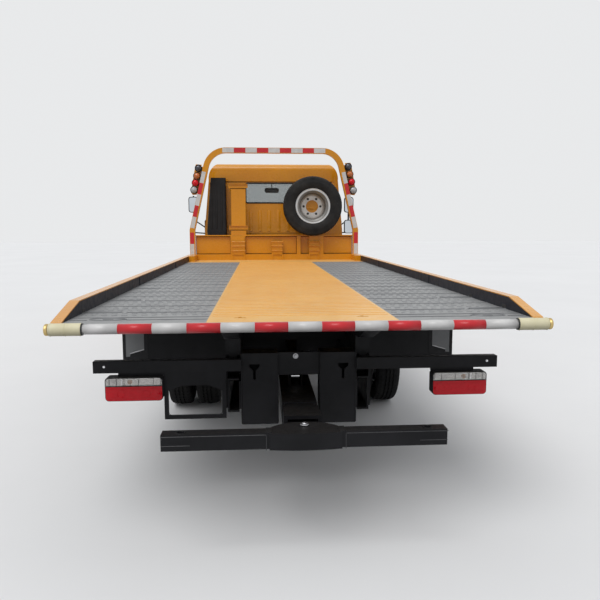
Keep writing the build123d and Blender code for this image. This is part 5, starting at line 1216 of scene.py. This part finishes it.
def chassis_fittings():
    """Tank straps and cap, battery box lid and straps, air tank bands, box edging, catches and a bright line
    of painted highlight along each box's lower lip.
    """
    straps, dark, bright = forms(3)
    tank_middle = (0.63, 0.58)
    outline = rounded(0.462, 0.342, 0.071, 6, tank_middle)
    for y in (0.36, 0.86):
        band(straps, outline, y, 0.02, 0.004)
        band(dark, outline, y, 0.026, 0.0018)
    for y in (low("fuel_tank").y + 0.004, high("fuel_tank").y - 0.004):
        band(straps, rounded(0.458, 0.338, 0.069, 6, tank_middle), y, 0.006, 0.0045)
    dark.turned(((0, 0.03), (0.014, 0.032), (0.026, 0.04), (0.044, 0.04), (0.05, 0.034), (0.05, 0.0001)),
        (0.78, 0.92, 0.742), (0.25, 0, 0.97), 32)
    dark.block((-0.797, -0.393), (0.508, 1.012), (0.7, 0.746), 0.006)
    for y in (0.6, 0.92):
        dark.block((-0.803, -0.795), about(y, 0.014), (0.64, 0.72), 0.003)
        bright.block((-0.807, -0.802), about(y, 0.01), (0.655, 0.69), 0.002)
    # columns: y, half width at the foot, half width at the top, radius
    for y, foot, top, radius in ((-0.13, 0.016, 0.016, 0.123), (0.3, 0.016, 0.016, 0.123),
            (-0.239, 0.004, 0.003, 0.1222), (0.409, 0.004, 0.003, 0.1222)):
        dark.turned(((-foot, 0.1202), (-top, radius), (top, radius), (foot, 0.1202)), (-0.545, y, 0.59),
            (0, 1, 0), 40)
    y0, y1 = tail_y + 1.35, tail_y + 1.95
    edge_y = (y0 - 0.003, y0 + 0.001)
    hinge_x, lid_x = 0.947, 1.107
    border = ((1.1, 0.65), (1.1, 0.68), (1.062, 0.684), (1.058, 0.702), (0.968, 0.727), (0.968, 0.845),
        (0.946, 0.845), (0.946, 0.65))
    # columns: form, from and to out of the lid, y, z, softened, steps
    parts = [(dark, hinge_x - lid_x - 0.002, 0.001, edge_y, (0.648, 0.664), 0.001, 1),
        (dark, -0.018, 0.001, edge_y, (0.648, 0.846), 0.001, 1),
        (dark, -0.002, 0.002, (y0 + 0.004, y1 - 0.004), (0.8, 0.804), 0, 1)]
    for y in (y0 + 0.13, y1 - 0.13):
        parts += [(bright, -0.001, 0.008, about(y, 0.02), (0.77, 0.822), 0.003, 2),
            (bright, 0.006, 0.012, about(y, 0.012), (0.76, 0.8), 0.003, 2)]
    for side in sides:
        for form, start, end, y, z, soften, steps in parts:
            form.block((side * (lid_x + start), side * (lid_x + end)), y, z, soften, steps)
        dark.prism([(side * x, z) for x, z in border], y0 - 0.002, y0 + 0.001)
        # a bright steel line along the slanted lower lip of the box's end: painted highlight
        bright.tube([(side * 1.059, y0 - 0.003, 0.704), (side * 0.969, y0 - 0.003, 0.73)], 0.0034, 8)
        for y in (y0 + 0.08, y1 - 0.08):
            dark.turned(((-0.022, 0.006), (-0.02, 0.007), (0.02, 0.007), (0.022, 0.006)),
                (side * hinge_x, y, 0.846), (0, 1, 0), 16)
        for y in (3.325, 4.885, 5.185):
            for z in (0.53, 0.71):
                bright.hexagon((side * 1.03, tail_y + y, z), (side, 0, 0), 0.017, 0.008)
    straps.done("tank_straps", steel, "chassis")
    dark.done("chassis_trim", plastic, "chassis")
    bright.done("latches_and_lip_highlight", steel, "chassis")


def spring_bolts():
    """U-bolts round each spring, with their nuts."""
    form = Form()
    half = 0.041
    # columns: middle x, axle y, half spread, top z, bottom z
    for x, axle_y, spread, top, bottom in ((0.345, front_axle_y, 0.046, 0.477, 0.322),
            (0.435, rear_axle_y, 0.064, 0.538, 0.312)):
        path = ((-half, bottom), (-half, top - 0.012), (-0.03, top), (0.03, top), (half, top - 0.012),
            (half, bottom))
        for side in sides:
            for y in about(axle_y, spread):
                form.tube([(side * x + u, y, z) for u, z in path], 0.006, 8)
                for u in (-half, half):
                    form.hexagon((side * x + u, y, bottom + 0.006), (0, 0, -1), 0.022, 0.012)
    form.done("spring_bolts", iron, "chassis")


def winch_rope():
    """Steel rope laid on the drum, and the bolts at the winch's ends."""
    rope, bolts = forms(2)
    drum_half, drum_radius, lays = 0.147, 0.062, 26
    y, z = 1.93, 1.25
    lay = drum_half / lays
    profile = [(-drum_half, drum_radius - 0.002)]
    for i in range(lays):
        for k in range(5):
            a = math.pi * k / 5
            profile.append(((2 * i + 1 - math.cos(a)) * lay - drum_half,
                drum_radius + 0.004 + 0.0055 * math.sin(a)))
    rope.turned(profile + [(drum_half, drum_radius - 0.002)], (0, y, z), (1, 0, 0), 40)
    for side in sides:
        for u, v in ring(6, 0.055):
            bolts.hexagon((side * 0.215, y + u, z + v), (side, 0, 0), 0.015, 0.008)
    rope.done("winch_rope", steel, "bed")
    bolts.done("winch_bolts", steel, "bed")


# Seats: padded cushions and backs with sewn channels
swell_cap = 0.014


def padded_seats():
    """Each seat's solid is swelled by cloth pressure, then its channels are pressed in."""
    for number, centre in enumerate(loose_centres("seats")):
        piece = bpy.data.objects.new(f"seat_{number + 1}", seat_mesh(number))
        scene.collection.objects.link(piece)
        shrink(piece.data, centre, 0.012)
        even = piece.modifiers.new("even", "REMESH")
        even.mode = "VOXEL"
        even.voxel_size = 0.016
        apply_all(piece)
        before = [v.co.copy() for v in piece.data.vertices]
        swell(piece)
        for vert, rest in zip(piece.data.vertices, before):
            move = vert.co - rest
            if move.length > swell_cap:
                vert.co = rest + move.normalized() * swell_cap
        piece.modifiers.new("fine", "SUBSURF").levels = 1
        apply_all(piece)
        press_channels(piece.data, centre)
        piece.data.materials.clear()
        piece.data.materials.append(cloth)
        piece.data.shade_smooth()
        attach(piece, "cab")
        if number == 0:
            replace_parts(piece, "seats")


def seat_mesh(number):
    """A mesh of one loose part of the seats."""
    work, parts = loose_parts(nodes["seats"].data)
    others = [vert for i, (centre, group) in enumerate(parts) if i != number for vert in group]
    bmesh.ops.delete(work, geom=others, context="VERTS")
    data = bpy.data.meshes.new("seat")
    work.to_mesh(data)
    work.free()
    return data


def shrink(data, centre, amount):
    """Pull a form's points towards its middle by amount on each axis."""
    size = [max(v.co[k] for v in data.vertices) - min(v.co[k] for v in data.vertices) for k in range(3)]
    for vert in data.vertices:
        for k in range(3):
            vert.co[k] = centre[k] + (vert.co[k] - centre[k]) * (1 - 2 * amount / size[k])


def apply_all(piece):
    """Turn a piece's modifiers into its mesh."""
    graph = bpy.context.evaluated_depsgraph_get()
    made = bpy.data.meshes.new_from_object(piece.evaluated_get(graph))
    piece.modifiers.clear()
    piece.data = made


def swell(piece):
    """Blow the form up a little as cloth."""
    last_frame = 20
    cloth_step = piece.modifiers.new("cloth", "CLOTH")
    settings = cloth_step.settings
    settings.use_pressure = True
    settings.uniform_pressure_force = 4.0
    settings.effector_weights.gravity = 0.0
    settings.quality = 4
    settings.mass = 0.3
    cloth_step.point_cache.frame_start = 1
    cloth_step.point_cache.frame_end = last_frame
    for number in range(1, last_frame + 1):
        scene.frame_set(number)
    apply_all(piece)
    scene.frame_set(1)


def press_channels(data, centre):
    """Sewn channels: three across the cushion, four across the back, and two down each side."""
    cushion_top, side_channel, headrest_z = 1.26, 0.165, 1.7
    half_width, side_depth, cross_depth = 0.007, 0.007, 0.006

    def groove(distance, depth):
        return depth * math.exp(-(distance / half_width) ** 2)

    normals = [v.normal.copy() for v in data.vertices]
    for vert, normal in zip(data.vertices, normals):
        place = vert.co
        across = abs(place.x - centre.x)
        depth = sum(groove(across - line, side_depth) for line in (0.075, side_channel))
        if place.z < cushion_top:
            if across < side_channel:
                depth += sum(groove(place.y - y, cross_depth) for y in (2.62, 2.74, 2.86))
        else:
            depth += sum(groove(place.z - z, cross_depth) for z in (1.36, 1.5, 1.64, 1.74)
                if across < side_channel or z > headrest_z)
        vert.co = place - normal * depth


# Studio: pale floor and sky, soft lamps
def seen_rays(tree):
    """1 for what the camera, gloss and glass see, 0 for diffuse light."""
    paths = add_node(tree, "ShaderNodeLightPath").outputs
    also = maths(tree, "ADD", paths["Is Glossy Ray"], paths["Is Transmission Ray"], use_clamp=True)
    return maths(tree, "ADD", paths["Is Camera Ray"], also, use_clamp=True)


def floor_finish():
    """Pale to the eye, duller in the light that it throws back up."""
    material = surface("studio_floor", (0.76, 0.76, 0.76), (0.79, 0.79, 0.79), 0.4, (0.7, 0.8), 60.0, 0.02,
        shine=0.1)
    tree, shader, place = opened(material)
    pale = shader.inputs["Base Color"].links[0].from_socket
    fill(tree, shader, {"Base Color": mix(tree, seen_rays(tree), (0.26, 0.26, 0.26), pale)})
    return material


def studio():
    """A pale floor and world. The camera, gloss and glass see a pale background."""
    data = bpy.data.meshes.new("floor")
    reach = 60.0
    data.from_pydata([(-reach, -reach, 0), (reach, -reach, 0), (reach, reach, 0), (-reach, reach, 0)], [],
        [(0, 1, 2, 3)])
    data.materials.append(floor_finish())
    floor = bpy.data.objects.new("floor", data)
    scene.collection.objects.link(floor)
    world = bpy.data.worlds.new("studio_sky")
    world.use_nodes = True
    scene.world = world
    tree = world.node_tree
    tree.nodes.clear()
    dim, pale = (add_node(tree, "ShaderNodeBackground", {"Color": colour, "Strength": strength}).outputs[0]
        for colour, strength in (((0.95, 0.97, 1.0, 1.0), 0.66), ((0.9, 0.91, 0.92, 1.0), 0.9)))
    both = add_node(tree, "ShaderNodeMixShader", {0: seen_rays(tree), 1: dim, 2: pale})
    add_node(tree, "ShaderNodeOutputWorld", {0: both.outputs[0]})
    sun = bpy.data.lights.new("high_sun", "SUN")
    sun.angle = math.radians(40)
    sun.energy = 1.6
    lamp = bpy.data.objects.new("high_sun", sun)
    lamp.rotation_euler = Vector((0.3, 0.62, -1.0)).to_track_quat("-Z", "Y").to_euler()
    scene.collection.objects.link(lamp)


for build in (deck_marks, tie_down_slot_shades, tail_slots, rail_liners, tail_tape, arch_tape, arch_lenses, tyres,
        tail_lamp_faces, tail_fittings, window_seals, cab_rear_pressings, door_fittings, cab_front_fittings,
        cab_steps, mirror_faces, headlamp_bowls, head_shade_lines, head_steps, lamp_plates, intake_ribs,
        pale_edge_lines, cab_lining, wheel_fittings, spare_fittings, chassis_fittings, spring_bolts, winch_rope,
        weld_beads, padded_seats, studio):
    build()

scene.view_settings.view_transform = "Standard"
